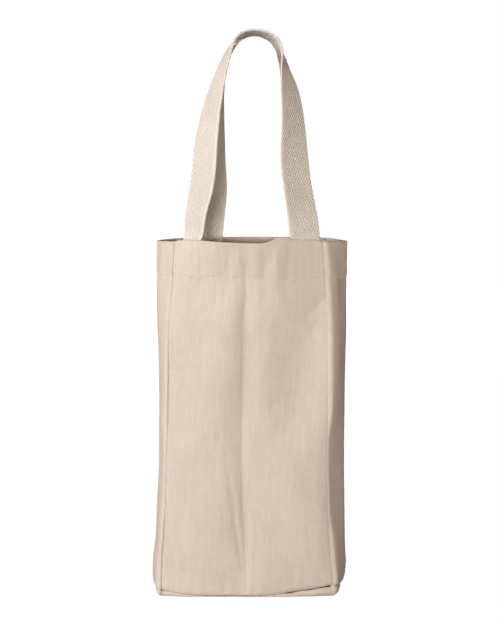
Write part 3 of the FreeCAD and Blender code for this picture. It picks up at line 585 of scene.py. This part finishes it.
def canvas_material(name, light, dark):
    """Plain-weave natural cotton: yarns of uneven thickness, slubs, and a few seed flecks."""
    mat, g, b, u, v = surface(name)
    place = g.vec(u, v)
    wob = g.noise(place, 0.16, 1.0)
    uu = g.math("MULTIPLY_ADD", wob, 1.1, u)
    vv = g.math("MULTIPLY_ADD", g.noise(g.vec(v, u, 7.0), 0.16, 1.0), 1.1, v)
    weave = g.math("MULTIPLY", g.math("SINE", g.math("MULTIPLY", uu, math.pi / 0.64)), g.math("SINE", g.math("MULTIPLY", vv, math.pi / 0.7)))
    warp = g.noise(g.vec(g.math("MULTIPLY", u, 1.35), g.math("MULTIPLY", v, 0.045), 3.0), 1.0, 3.0, 0.6)
    weft = g.noise(g.vec(g.math("MULTIPLY", u, 0.05), g.math("MULTIPLY", v, 1.25), 9.0), 1.0, 3.0, 0.6)
    grain = g.noise(g.vec(u, v, 1.0), 0.55, 3.0, 0.6)
    cloud = g.noise(g.vec(u, v, 5.0), 0.018, 3.0, 0.55)
    streak = g.noise(g.vec(g.math("MULTIPLY", u, 0.26), g.math("MULTIPLY", v, 0.022), 6.0), 1.0, 2.0, 0.55)
    yarn = g.math("MULTIPLY_ADD", weft, 0.6, warp)
    tone = g.math("ADD", g.span(yarn, 0.48, 1.12, 0.14, 0.86), g.span(weave, -1.0, 1.0, -0.09, 0.09))
    tone = g.math("ADD", tone, g.span(streak, 0.3, 0.7, -0.16, 0.16))
    tone = g.math("ADD", tone, g.span(grain, 0.25, 0.75, -0.2, 0.2))
    tone = g.math("ADD", tone, g.span(cloud, 0.3, 0.7, -0.17, 0.17))
    col = g.mix(g.math("MINIMUM", g.math("MAXIMUM", tone, 0.0), 1.0), dark, light)
    cell = g.node("ShaderNodeTexVoronoi", feature="F1")
    g.feed(g.vec(u, v, 2.0), cell.inputs["Vector"])
    cell.inputs["Scale"].default_value = 0.045
    tint = g.node("ShaderNodeSeparateColor")
    g.tree.links.new(cell.outputs["Color"], tint.inputs[0])
    fleck = g.math("MULTIPLY", g.span(cell.outputs["Distance"], 0.012, 0.028, 1.0, 0.0), g.span(tint.outputs[0], 0.55, 0.6, 0.0, 0.75))
    col = g.mix(fleck, col, (0.16, 0.105, 0.06, 1.0))
    # past the rim v runs down the inside, which is painted darker and warmer as shade and bounce light inside the bag
    col = g.mix(g.span(v, 352.0, 362.0, 0.0, 0.26), col, (0.62, 0.43, 0.26, 1.0))
    g.feed(col, b.inputs["Base Color"])
    g.feed(g.span(yarn, 0.48, 1.12, 0.96, 0.84), b.inputs["Roughness"])
    b.inputs["Sheen Weight"].default_value = 0.12
    b.inputs["Sheen Roughness"].default_value = 0.5
    b.inputs["Specular IOR Level"].default_value = 0.25
    height = g.math("ADD", g.math("MULTIPLY", weave, 0.35), g.math("MULTIPLY", yarn, 0.9))
    height = g.math("MULTIPLY_ADD", grain, 0.9, height)
    bump(g, b, height, 0.6, 0.0003)
    return mat


def webbing_material(name, light, dark):
    """Heavy cotton webbing: offset rows of yarn floats, the gaps between them painted darker as shade, worn smoother at
    the top of the loop (v = 0).
    """
    mat, g, b, u, v = surface(name)
    float_ = g.math("MULTIPLY", g.math("COSINE", g.math("MULTIPLY", u, 2 * math.pi / WEAVE_P)), g.math("COSINE", g.math("MULTIPLY", v, 2 * math.pi / WEAVE_Q)))
    twist = g.math("SINE", g.math("ADD", g.math("MULTIPLY", u, 2 * math.pi / 0.9), g.math("MULTIPLY", v, 2 * math.pi / 0.62)))
    worn = g.span(g.math("ABSOLUTE", v), 20.0, 75.0, 0.35, 1.0)
    plain = g.span(g.math("ABSOLUTE", u), WEB_W / 2 - 2.6, WEB_W / 2 - 1.0, 1.0, 0.25)
    grain = g.noise(g.vec(u, v, 1.0), 0.7, 3.0, 0.6)
    yarn = g.noise(g.vec(g.math("MULTIPLY", u, 0.7), g.math("MULTIPLY", v, 0.03), 4.0), 1.0, 2.0)
    cloud = g.noise(g.vec(u, v, 8.0), 0.03, 2.0)
    # tone follows the floats: the gaps between them are painted darker as shade in the weave's hollows, on top of
    # random yarn tone
    tone = g.math("ADD", g.math("MULTIPLY_ADD", g.math("SUBTRACT", g.span(float_, -1.0, 0.7, 0.08, 0.86), 0.6), plain, 0.6), g.span(grain, 0.25, 0.75, -0.12, 0.12))
    tone = g.math("ADD", tone, g.span(yarn, 0.3, 0.7, -0.1, 0.1))
    tone = g.math("ADD", tone, g.span(cloud, 0.3, 0.7, -0.1, 0.1))
    tone = g.math("ADD", tone, g.math("MULTIPLY", twist, 0.05))
    col = g.mix(g.math("MINIMUM", g.math("MAXIMUM", tone, 0.0), 1.0), dark, light)
    g.feed(col, b.inputs["Base Color"])
    g.feed(g.span(grain, 0.3, 0.7, 0.92, 0.8), b.inputs["Roughness"])
    b.inputs["Sheen Weight"].default_value = 0.12
    b.inputs["Sheen Roughness"].default_value = 0.5
    b.inputs["Specular IOR Level"].default_value = 0.25
    height = g.math("ADD", g.math("MULTIPLY", twist, 0.06), g.math("MULTIPLY", grain, 0.25))
    height = g.math("MULTIPLY", g.math("MULTIPLY", g.math("ADD", float_, height), worn), plain)
    bump(g, b, height, 1.0, 0.00036)
    return mat


def thread_material(name, light, dark):
    """Three-ply cotton thread."""
    mat, g, b, u, v = surface(name)
    ply = g.math("SINE", g.math("ADD", g.math("MULTIPLY", u, 2 * math.pi / 0.8), g.math("MULTIPLY", v, 4 * math.pi)))
    grain = g.noise(g.vec(u, v, 3.0), 1.5, 2.0)
    tone = g.math("ADD", g.span(ply, -1.0, 1.0, 0.25, 0.75), g.span(grain, 0.3, 0.7, -0.2, 0.2))
    g.feed(g.mix(g.math("MINIMUM", g.math("MAXIMUM", tone, 0.0), 1.0), dark, light), b.inputs["Base Color"])
    g.feed(g.span(grain, 0.3, 0.7, 0.75, 0.6), b.inputs["Roughness"])
    b.inputs["Sheen Weight"].default_value = 0.1
    bump(g, b, ply, 0.4, 0.00008)
    return mat


CANVAS = canvas_material("canvas", (0.82, 0.708, 0.602, 1.0), (0.69, 0.58, 0.48, 1.0))
WEBBING = webbing_material("webbing", (0.955, 0.88, 0.775, 1.0), (0.70, 0.60, 0.49, 1.0))
THREAD = thread_material("thread", (0.92, 0.84, 0.74, 1.0), (0.80, 0.705, 0.60, 1.0))
UP = np.array([0.0, 0.0, 1.0])

PIECES = []


def keep(ob, slot, *nodes):
    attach(ob, "bag")
    if nodes:
        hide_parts(*nodes)
    PIECES.append(ob)
    return ob


# ---------------------------------------------------------------- canvas pieces
def wall_cloth(name, node):
    g = WALL[name]
    hem = HEM_T * smooth01((HEM_D + 0.3 - g["D"]) / 0.7)
    bite = 0.35 * np.exp(-((g["D"] - STITCH_D) / 0.9)**2)
    outer = g["P"] + g["N"] * H
    inner = g["P"] - g["N"] * (H + hem - bite)[..., None]
    turn = edge_turn(outer[-1], inner[-1], UP)
    return keep(cloth(name + "_canvas", outer, inner, turn, CANVAS), "canvas", node)


front = wall_cloth("front", "front_panel")
back = wall_cloth("back", "back_panel")
left = wall_cloth("left", "left_gusset")
right = wall_cloth("right", "right_gusset")


def base_cloth():
    ring, nrm, gape = [], [], []
    for name in ("front", "right", "back", "left"):
        g = WALL[name]
        pick = slice(0, -1)
        open_ = curve(GAPE, g["s"][pick])[:, 0] if name == "front" else np.zeros(len(g["s"]) - 1)
        gape.append(open_)
        ring.append(g["P"][0, pick] + g["N"][0, pick] * (1.1 + open_)[:, None])
        n = g["N"][0, pick].copy()
        n[:, 2] = 0
        nrm.append(unit(n))
    ring, nrm, gape = np.concatenate(ring), np.concatenate(nrm), np.concatenate(gape)[:, None]
    # pinched at the two front corners
    ends = (0, len(WALL["front"]["s"]) - 1)
    pinch = sum(1.5 * np.exp(-(np.linalg.norm(ring[:, :2] - ring[e, :2], axis=1) / 1.3)**2) for e in ends)[:, None]
    for _ in range(6):
        nrm = unit(nrm + 0.5 * (np.roll(nrm, 1, 0) + np.roll(nrm, -1, 0)))
    foot = ring[:, 2:3].copy()
    flat = np.c_[ring[:, :2], np.zeros(len(ring))]
    edge = 1.0 + 0.12 * ripple(np.arange(len(ring)) * 1.2, 9, 24, 6, 5)[:, None]
    rows = []
    for inset, share in ((1.5, 0.97), (0.75, 0.93), (0.3, 0.86), (0.05, 0.74), (0.0, 0.62), (0.2, 0.46), (0.75, 0.3), (1.9, 0.14), (3.6, 0.04), (6.0, 0.0)):
        k = np.clip((foot / 8.5)**1.5, 0.2, 1.9) if share < 0.5 else 1.0
        more = gape * np.clip((share - 0.84) / 0.13, 0, 1) + pinch * np.clip((share - 0.1) / 0.4, 0, 1)
        rows.append(flat - nrm * (inset * k * (edge if share < 0.9 else 1.0) + more) + UP * foot * share)
    last = rows[-1]
    for k in (0.86, 0.7, 0.54, 0.38, 0.22, 0.08):
        rows.append(last * np.array([k + (1 - k) * 0.15, k, 1.0]))
    outer = np.array(rows)
    inner = outer.copy()
    lift = np.r_[np.zeros(1), np.full(len(rows) - 1, CLOTH_T)]
    inner = inner + UP * lift[:, None, None]
    inner[:len(rows) - 6] -= nrm[None] * np.minimum(CLOTH_T, 0.4 + 0.12 * np.arange(len(rows) - 6))[:, None, None]
    R, C = outer.shape[:2]
    loop = np.concatenate([inner[::-1], outer])          # from the middle inside, out to the seam, and under to the middle
    M = len(loop)
    idx = np.arange(M * C).reshape(M, C)
    nx = np.roll(idx, -1, axis=1)
    quads = np.stack([idx[:-1], idx[1:], nx[1:], nx[:-1]], -1).reshape(-1, 4)
    verts = np.concatenate([loop.reshape(-1, 3), [loop[0].mean(0)], [loop[-1].mean(0)]])
    a, b = M * C, M * C + 1
    tris = [(a, idx[0, j], nx[0, j]) for j in range(C)] + [(b, nx[-1, j], idx[-1, j]) for j in range(C)]
    return keep(build("base_canvas", verts, quads, tris, verts[:, :2] + 200.0, CANVAS), "canvas", "base_panel")


base = base_cloth()


def divider_cloth():
    zs = spaced([(4, 300, 4.0), (300, 314, 1.0), (314, 318.2, 0.7)])
    q = np.linspace(0, 1, 41)
    f, b = curve(MID_F, zs), curve(MID_B, zs)
    y0, y1 = f[:, 1] + 1.4, b[:, 1] - 1.4
    Q = np.broadcast_to(q[None, :], (len(zs), len(q)))
    Z = np.broadcast_to(zs[:, None], Q.shape) - 3.2 * np.sin(math.pi * Q) * smooth01((zs[:, None] - 200) / 118.0)
    X = f[:, :1] + (b[:, :1] - f[:, :1]) * Q + 1.6 * np.sin(math.pi * Q) * np.sin(zs[:, None] / 70.0)
    Y = y0[:, None] + (y1 - y0)[:, None] * Q
    X = X + 0.5 * waves(Y, Z, 24, 70, 12, 301, 0.5) * np.sin(math.pi * Q) + 0.05 * waves(Y, Z, 5, 12, 14, 302)
    P = np.dstack([X, Y, Z])
    du, dv = np.gradient(P, axis=1), np.gradient(P, axis=0)
    N = unit(np.cross(unit(du), unit(dv)))
    D = Z[-1][None, :] - Z
    hem = 0.55 * smooth01((13.0 - D) / 0.7)
    bite = 0.3 * np.exp(-((D - 10.5) / 0.8)**2)
    outer, inner = P + N * (H + 0.2 * smooth01((13.0 - D) / 1.5) - bite)[..., None], P - N * (H + hem - bite)[..., None]
    ob = cloth("divider_canvas", outer, inner, edge_turn(outer[-1], inner[-1], UP), CANVAS)
    row = int(np.argmin(np.abs(D[:, 20] - 10.5)))
    lines = [(outer[row, 1:-1], N[row, 1:-1]), (inner[row, 1:-1], -N[row, 1:-1])]
    return keep(ob, "canvas", "divider"), lines


divider, divider_hem = divider_cloth()
keep(stitches("divider_hem_stitches", divider_hem, THREAD, seed=7), "thread")


# Seam allowances inside the corners and round the base.
def strip(name, root, into, side, width, seed):
    """Raw double edge of cloth standing off a seam: root line, direction in, and across its thickness."""
    n = len(root)
    a = np.linspace(0, 1, 9)
    sway = 0.9 * ripple(np.arange(n) * 2.0, 22, 60, 6, seed)[:, None] * a[None, :]**1.5
    wid = width + 0.35 * ripple(np.arange(n) * 2.0, 9, 30, 6, seed + 1)
    P = root[:, None, :] + into[:, None, :] * (wid[:, None] * a[None, :])[..., None] + side[:, None, :] * sway[..., None]
    thick = side[:, None, :] * (0.95 * (1 - 0.2 * a))[None, :, None]
    ob = cloth(name, P + thick, P - thick, edge_turn((P + thick)[-1], (P - thick)[-1], UP, 2), CANVAS)
    return keep(ob, "canvas"), P, thick


def corner(key, seam, seed):
    zs = np.arange(14.0, 319.0, 2.0)
    xy = curve(seam, zs)
    sx, sy = math.copysign(1, xy[0, 0]), math.copysign(1, xy[0, 1])
    into = np.tile(np.array([-0.70711 * sx, -0.70711 * sy, 0.0]), (len(zs), 1))
    side = np.cross(into, UP)
    root = np.c_[xy, zs] + into * 1.4
    ob, P, th = strip("seam_allowance_" + key, root, into, side, 8.0, seed)
    k = 3
    rows = [(P[2:-2, k] + th[2:-2, k], side[2:-2]), (P[2:-2, k] - th[2:-2, k], -side[2:-2])]
    keep(stitches("seam_stitches_" + key, rows, THREAD, seed=seed, pitch=2.9, length=2.4), "thread", "seam_thread_" + key)
    return ob


allow = [corner("front_left", SEAM_FL, 401), corner("front_right", SEAM_FR, 411),
         corner("back_left", SEAM_BL, 421), corner("back_right", SEAM_BR, 431)]


def foot_edge(name, lim, seed):
    n = 90 if name in ("front", "back") else 44
    s = np.linspace(-lim, lim, n)
    p, nr = on_wall(name, s, 0.0)
    nr = nr.copy()
    nr[:, 2] = 0
    nr = unit(nr)
    into = unit(-nr + UP * 0.75)
    side = unit(np.cross(np.gradient(p, axis=0), into))
    root = p - nr * 0.9 + UP * 0.9
    ob, P, th = strip("base_allowance_" + name, root, into, side, 7.0, seed)
    k = 3
    rows = [(P[1:-1, k] + th[1:-1, k], side[1:-1]), (P[1:-1, k] - th[1:-1, k], -side[1:-1])]
    keep(stitches("base_stitches_" + name, rows, THREAD, seed=seed, pitch=2.9, length=2.4), "thread", "base_thread_" + name)
    return ob


allow += [foot_edge("front", 0.93, 451), foot_edge("back", 0.93, 461), foot_edge("left", 0.84, 471), foot_edge("right", 0.84, 481)]

# ---------------------------------------------------------------- stitching on the walls
for name in ("front", "back", "left", "right"):
    lim = 0.975 if name in ("front", "back") else 0.92
    s = np.linspace(-lim, lim, 200)
    t = level(name, s, STITCH_D)
    p, n = on_wall(name, s, t, H)
    q, _ = on_wall(name, s, t, -H - HEM_T + 0.35)
    keep(stitches("hem_stitches_" + name, [(p, n), (q, -n)], THREAD, seed=21 + len(name)), "thread", "hem_thread_" + name)

for name in ("front", "back"):
    t = np.linspace(0.022, row_at(name, BODY_H - DIVIDER_TOP + 2.0), 300)
    p, n = on_wall(name, 0.0, t, H)
    keep(stitches("divider_stitches_" + name, [(p, n)], THREAD, seed=31 + len(name), dia=0.5), "thread", "divider_thread_" + name)


# ---------------------------------------------------------------- handles
SEATS = {"front_left": ("front", -59.2), "front_right": ("front", 57.0),
         "back_left": ("back", -46.6), "back_right": ("back", 53.2)}


class Seat:
    """Where a webbing end lies flat against the inside of the hem."""

    def __init__(self, key):
        self.wall, x_mid = SEATS[key]
        s = np.linspace(-0.99, 0.99, 1600)
        p, _ = on_wall(self.wall, s, 1.0, -SEAT_OFF)
        k = int(np.argmin(np.abs(p[:, 0] - x_mid)))
        run = np.r_[0, np.cumsum(np.linalg.norm(np.diff(p, axis=0), axis=1))]
        self.s, self.run = s, run - run[k]
        self.mid = s[k]
        self.left_to_right = 1 if self.wall == "front" else -1
        a, b = p[np.argmin(np.abs(self.run + 14))], p[np.argmin(np.abs(self.run - 14))]
        self.turn = math.degrees(math.atan2(abs(b[1] - a[1]), abs(b[0] - a[0])))

    def at_depth(self, across, depth, out):
        """The same, at depths below the level of the rim."""
        s = np.interp(across * self.left_to_right, self.run, self.s)
        return on_wall(self.wall, s, level(self.wall, s, depth), out)

    def at(self, across, t, out):
        """Points across the webbing, positive towards +X, at heights t."""
        s = np.interp(across * self.left_to_right, self.run, self.s)
        return on_wall(self.wall, s, t, out)


SEAT = {k: Seat(k) for k in SEATS}
T_LOW = row_at("front", HEM_D - 1.2)
TWIST = {"front_left": (14.0, 3.6)}     # turn of a webbing as it leaves the rim, and how far its middle stands off the wall there


def seat_rows(key):
    s = SEAT[key]
    t = np.array([T_LOW, row_at("front", 25), row_at("front", 15), row_at("front", 6.5)])
    p, _ = s.at(np.zeros(4), t, -SEAT_OFF)
    rows = [(x, y, z, s.turn) for x, y, z in p]
    more, off = TWIST.get(key, (0.0, 0.0))
    x, y, _ = s.at(np.zeros(1), np.ones(1), -SEAT_OFF - off)[0][0]
    return rows + [(x, y, PIVOT_Z + 1.2, s.turn + more)]


FRONT_PATH = [(-52.6, -36.6, 380, 48), (-46.2, -33.6, 411, 38), (-41.6, -29.4, 457, 42), (-35.4, -25.6, 495, 53),
              (-27.2, -21.6, 526, 65), (-21.0, -19.4, 543.5, 72), (-13.0, -18.0, 557.8, 83), (5.8, -17.4, 564.8, 92),
              (18.4, -17.7, 561.4, 99), (26.8, -18.3, 555.0, 103), (32.0, -19.4, 545.6, 96), (34.8, -20.6, 535.6, 84),
              (37.4, -22.4, 523.4, 71), (40.7, -24.6, 507, 58.5), (44.4, -29.5, 472, 45.5), (46.1, -35.0, 436, 32),
              (51.6, -41.0, 398, 29)]
BACK_PATH = [(-39.2, 44.0, 395, 46), (-36.7, 37.6, 436, 60), (-36.5, 31.8, 472, 64), (-34.4, 26.4, 505, 72),
             (-28.8, 22.4, 530, 81), (-21.6, 19.8, 547, 86), (-11.6, 18.2, 559.2, 88), (5.5, 17.6, 565.6, 90),
             (17.5, 18.0, 561.4, 88), (24.8, 18.6, 555.2, 82), (29.8, 19.8, 545.6, 76), (34.9, 22.0, 529, 70),
             (39.2, 25.2, 503, 59), (42.8, 29.4, 468, 47), (44.4, 33.4, 432, 37), (49.7, 37.6, 392, 35)]
LEAN = math.radians(7.5)    # each loop leans in over the bag, so its outer edge stands higher


def webbing(name, path, sign):
    side = "front" if sign < 0 else "back"
    rows = np.array(seat_rows(side + "_left") + path + seat_rows(side + "_right")[::-1], float)
    top = int(np.argmax(rows[:, 2]))
    psi = np.where(np.arange(len(rows)) <= top, rows[:, 3], 180 - rows[:, 3])
    step = np.r_[0, np.cumsum(np.linalg.norm(np.diff(rows[:, :3], axis=0), axis=1))]
    line = cubic(step, rows[:, :3])
    fine = np.linspace(0, step[-1], 6000)
    run = np.r_[0, np.cumsum(np.linalg.norm(np.diff(line(fine), axis=0), axis=1))]
    n = int(run[-1] / (WEAVE_Q / 6)) + 1
    v = np.arange(n) * run[-1] / (n - 1)
    k = np.interp(v, run, fine)
    C = line(k)
    v_top = round(v[np.argmax(C[:, 2])] / WEAVE_Q) * WEAVE_Q
    worn = 0.35 + 0.65 * smooth01((np.abs(v - v_top) - 20) / 55.0)
    ang = np.radians(curve(np.c_[step, psi], k)[:, 0])
    T = unit(np.gradient(C, axis=0))
    W = np.stack([np.cos(ang), sign * np.sin(ang) * math.cos(LEAN), np.sin(ang) * math.sin(LEAN)], -1)
    W = unit(W - T * (W * T).sum(-1, keepdims=True))
    N = unit(np.cross(T, W))
    # across: flat face, rounded edge, other face, rounded edge
    m = int(round((WEB_W - 1.6) / (WEAVE_P / 4)))
    a = np.linspace(-WEB_W / 2 + 0.8, WEB_W / 2 - 0.8, m + 1)
    half = WEB_T / 2 - 0.22
    th = np.linspace(0, math.pi, 5)[1:-1]
    across = np.concatenate([a, WEB_W / 2 - 0.8 + 0.8 * np.sin(th), a[::-1], -WEB_W / 2 + 0.8 - 0.8 * np.sin(th)])
    away = np.concatenate([np.full(m + 1, half), half * np.cos(th), np.full(m + 1, -half), -half * np.cos(th)])
    face = np.sign(np.round(away, 6))
    fade = smooth01((WEB_W / 2 - 0.3 - np.abs(across)) / 1.2)
    weave = np.cos(2 * math.pi * across / WEAVE_P)[None, :] * np.cos(2 * math.pi * v / WEAVE_Q)[:, None]
    lift = 0.17 * weave * worn[:, None] * fade[None, :] + 0.06 * ripple(v, 20, 60, 6, 61)[:, None] * face[None, :]
    # the selvedges: short loops of the weft, one each half repeat
    sel = (1 - fade)[None, :] * 0.04 * np.cos(4 * math.pi * v / WEAVE_Q)[:, None]
    cup = -0.35 * (across / (WEB_W / 2))**2
    P = C[:, None, :] + W[:, None, :] * (across[None, :] + np.sign(across)[None, :] * sel)[..., None] \
        + N[:, None, :] * (away[None, :] + np.where(face == 0, 0, face)[None, :] * lift + cup[None, :] * smooth01((C[:, 2:3] - 365) / 30))[..., None]
    # beside the rim the webbing follows the curve of the hem
    for key, rows_ in ((side + "_left", np.arange(n) < n // 2), (side + "_right", np.arange(n) >= n // 2)):
        s = SEAT[key]
        low = np.where(rows_ & (C[:, 2] < 386))[0]
        g = WALL[s.wall]
        c = len(g["s"]) // 2
        t = np.clip(np.interp(C[low, 2], g["P"][:, c, 2], g["t"]), 0, 1)
        way = np.sign(W[low[0] if low[0] < n // 2 else low[-1], 0])
        pts, _ = s.at(np.broadcast_to(way * across[None, :], (len(low), len(across))), np.broadcast_to(t[:, None], (len(low), len(across))), -SEAT_OFF)
        mid, _ = s.at(np.zeros(len(low)), t, -SEAT_OFF)
        flat = np.array([way * math.cos(math.radians(s.turn)), sign * math.sin(math.radians(s.turn)), 0.0])
        gap = pts - mid[:, None, :] - flat[None, None, :] * across[None, :, None]
        gap[..., 2] = 0
        P[low] += gap * (1 - smooth01((C[low, 2] - 357) / 27.0))[:, None, None]
    M = P.shape[1]
    idx = np.arange(n * M).reshape(n, M)
    nx = np.roll(idx, -1, axis=1)
    quads = np.stack([idx[:-1], nx[:-1], nx[1:], idx[1:]], -1).reshape(-1, 4)
    cap = []
    for e, flip in ((0, False), (n - 1, True)):
        for j in range(M // 2 - 1):
            q = (idx[e, j], idx[e, (M - 4 - j) % M], idx[e, (M - 5 - j) % M], idx[e, j + 1])
            if len(set(q)) == 4 and j < m:
                cap.append(q[::-1] if flip else q)
    uv = np.stack(np.broadcast_arrays((across + np.where(away < 0, WEAVE_P / 2, 0) )[None, :], (v - v_top)[:, None]), -1).reshape(-1, 2)
    ob = build(name, P.reshape(-1, 3), np.concatenate([quads, np.array(cap)]), (), uv, WEBBING)
    me = ob.data
    return ob, run[-1]


for side, path, sign in (("front", FRONT_PATH, -1), ("back", BACK_PATH, 1)):
    ob, length = webbing(side + "_webbing", path, sign)
    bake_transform(ob)
    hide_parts(side + "_handle_loop", side + "_handle_end_left", side + "_handle_end_right")


def tack_lines(key):
    """Stitching through hem and webbing: a closed rectangle, and short back-and-forth rows at the inner side."""
    s = SEAT[key]
    inner = -1 if SEATS[key][1] > 0 else 1
    x0, x1 = -WEB_W / 2 + 2.2, WEB_W / 2 - 2.2
    d0, d1 = STITCH_D - 2.0, 5.6
    lines = []

    def add(xs, ds):
        xs, ds = np.broadcast_arrays(np.asarray(xs, float), np.asarray(ds, float))
        p, n = s.at_depth(xs, ds, H)
        lines.append((p, n))
        q, n = s.at_depth(xs, ds, -SEAT_OFF - WEB_T / 2 - 0.05)
        lines.append((q, -n))

    k = np.linspace(0, 1, 40)
    add(x0 + (x1 - x0) * k, d1)
    add(x0 + (x1 - x0) * k, d0)
    add(x0, d0 + (d1 - d0) * k)
    add(x1, d0 + (d1 - d0) * k)
    for j in range(3):
        x = inner * (WEB_W / 2 - 0.6 - 1.7 * j)
        add(x, 8.4 - 6.0 * k)
        add(x, STITCH_D + 4.0 - 8.0 * k)
    return lines


for i, key in enumerate(SEATS):
    keep(stitches("tack_stitches_" + key, tack_lines(key), THREAD, seed=71 + i, dia=0.58), "thread", "tack_thread_" + key)

# ---------------------------------------------------------------- floor, light, camera
bpy.ops.mesh.primitive_plane_add(size=14, location=(0, 3.0, -0.0004))
floor = bpy.context.object
floor.name = "floor"
mat = bpy.data.materials.new("floor_pale")
mat.use_nodes = True
g = Graph(mat.node_tree)
g.tree.nodes.clear()
out = g.node("ShaderNodeOutputMaterial")
path_ = g.node("ShaderNodeLightPath")
glow = g.node("ShaderNodeEmission")
glow.inputs["Color"].default_value = (1, 1, 1, 1)
g.feed(g.span(path_.outputs["Is Camera Ray"], 0, 1, 0.0, 1.0), glow.inputs["Strength"])
matt = g.node("ShaderNodeBsdfDiffuse")
matt.inputs["Color"].default_value = (0.05, 0.042, 0.034, 1)
both = g.node("ShaderNodeAddShader")
g.tree.links.new(glow.outputs[0], both.inputs[0])
g.tree.links.new(matt.outputs[0], both.inputs[1])
g.tree.links.new(both.outputs[0], out.inputs[0])
floor.data.materials.append(mat)

world = bpy.data.worlds.new("studio")
bpy.context.scene.world = world
world.use_nodes = True
g = Graph(world.node_tree)
g.tree.nodes.clear()
out = g.node("ShaderNodeOutputWorld")
path_ = g.node("ShaderNodeLightPath")
room, white, pick = g.node("ShaderNodeBackground"), g.node("ShaderNodeBackground"), g.node("ShaderNodeMixShader")
room.inputs["Color"].default_value = (1.0, 0.59, 0.34, 1)
room.inputs["Strength"].default_value = 0.118
white.inputs["Color"].default_value = (1, 1, 1, 1)
white.inputs["Strength"].default_value = 1.0
g.tree.links.new(path_.outputs["Is Camera Ray"], pick.inputs[0])
g.tree.links.new(room.outputs[0], pick.inputs[1])
g.tree.links.new(white.outputs[0], pick.inputs[2])
g.tree.links.new(pick.outputs[0], out.inputs[0])


def area(name, place, aim, size, watts, colour=(1, 1, 1)):
    lamp = bpy.data.lights.new(name, "AREA")
    lamp.shape = "RECTANGLE"
    lamp.size, lamp.size_y = size
    lamp.energy = watts
    lamp.color = colour
    ob = bpy.data.objects.new(name, lamp)
    ob.location = place
    ob.rotation_euler = (Vector(aim) - Vector(place)).to_track_quat("-Z", "Y").to_euler()
    bpy.context.scene.collection.objects.link(ob)
    ob.visible_camera = False
    return ob


area("key", (-1.433, -0.384, 0.90), (0, 0, 0.32), (0.4, 0.4), 11.4, (0.985, 1.0, 1.03))
area("left", (-2.298, -1.928, 0.40), (0, 0, 0.30), (1.2, 0.3), 19.6, (0.985, 1.0, 1.03))
area("front", (-0.279, -3.99, 0.40), (0, 0, 0.30), (0.6, 0.3), 91.0, (0.99, 0.98, 0.96))
area("fill", (3.759, -1.368, 0.40), (0, 0, 0.28), (1.2, 0.3), 27.0, (1.0, 0.965, 0.93))
area("back", (0.3, 4.2, 0.50), (0, 0, 0.28), (1.2, 0.4), 135.0, (1.0, 0.98, 0.96))

cam = bpy.data.cameras.new("camera")
cam.sensor_fit = "VERTICAL"
cam.sensor_height = 36.0
cam.lens = 1972.0 * 36.0 / 625.0
cam.clip_start, cam.clip_end = 0.05, 50.0
eye = bpy.data.objects.new("camera", cam)
yaw, pitch = math.radians(3.0), math.radians(4.9)
eye.location = (2.0 * math.sin(yaw), -2.0 * math.cos(yaw), 0.455)
eye.rotation_euler = (math.radians(90) - pitch, 0, yaw)
bpy.context.scene.collection.objects.link(eye)
bpy.context.scene.camera = eye
bpy.context.scene.view_settings.view_transform = "Standard"
bpy.context.scene.view_settings.look = "None"

bpy.context.view_layer.update()
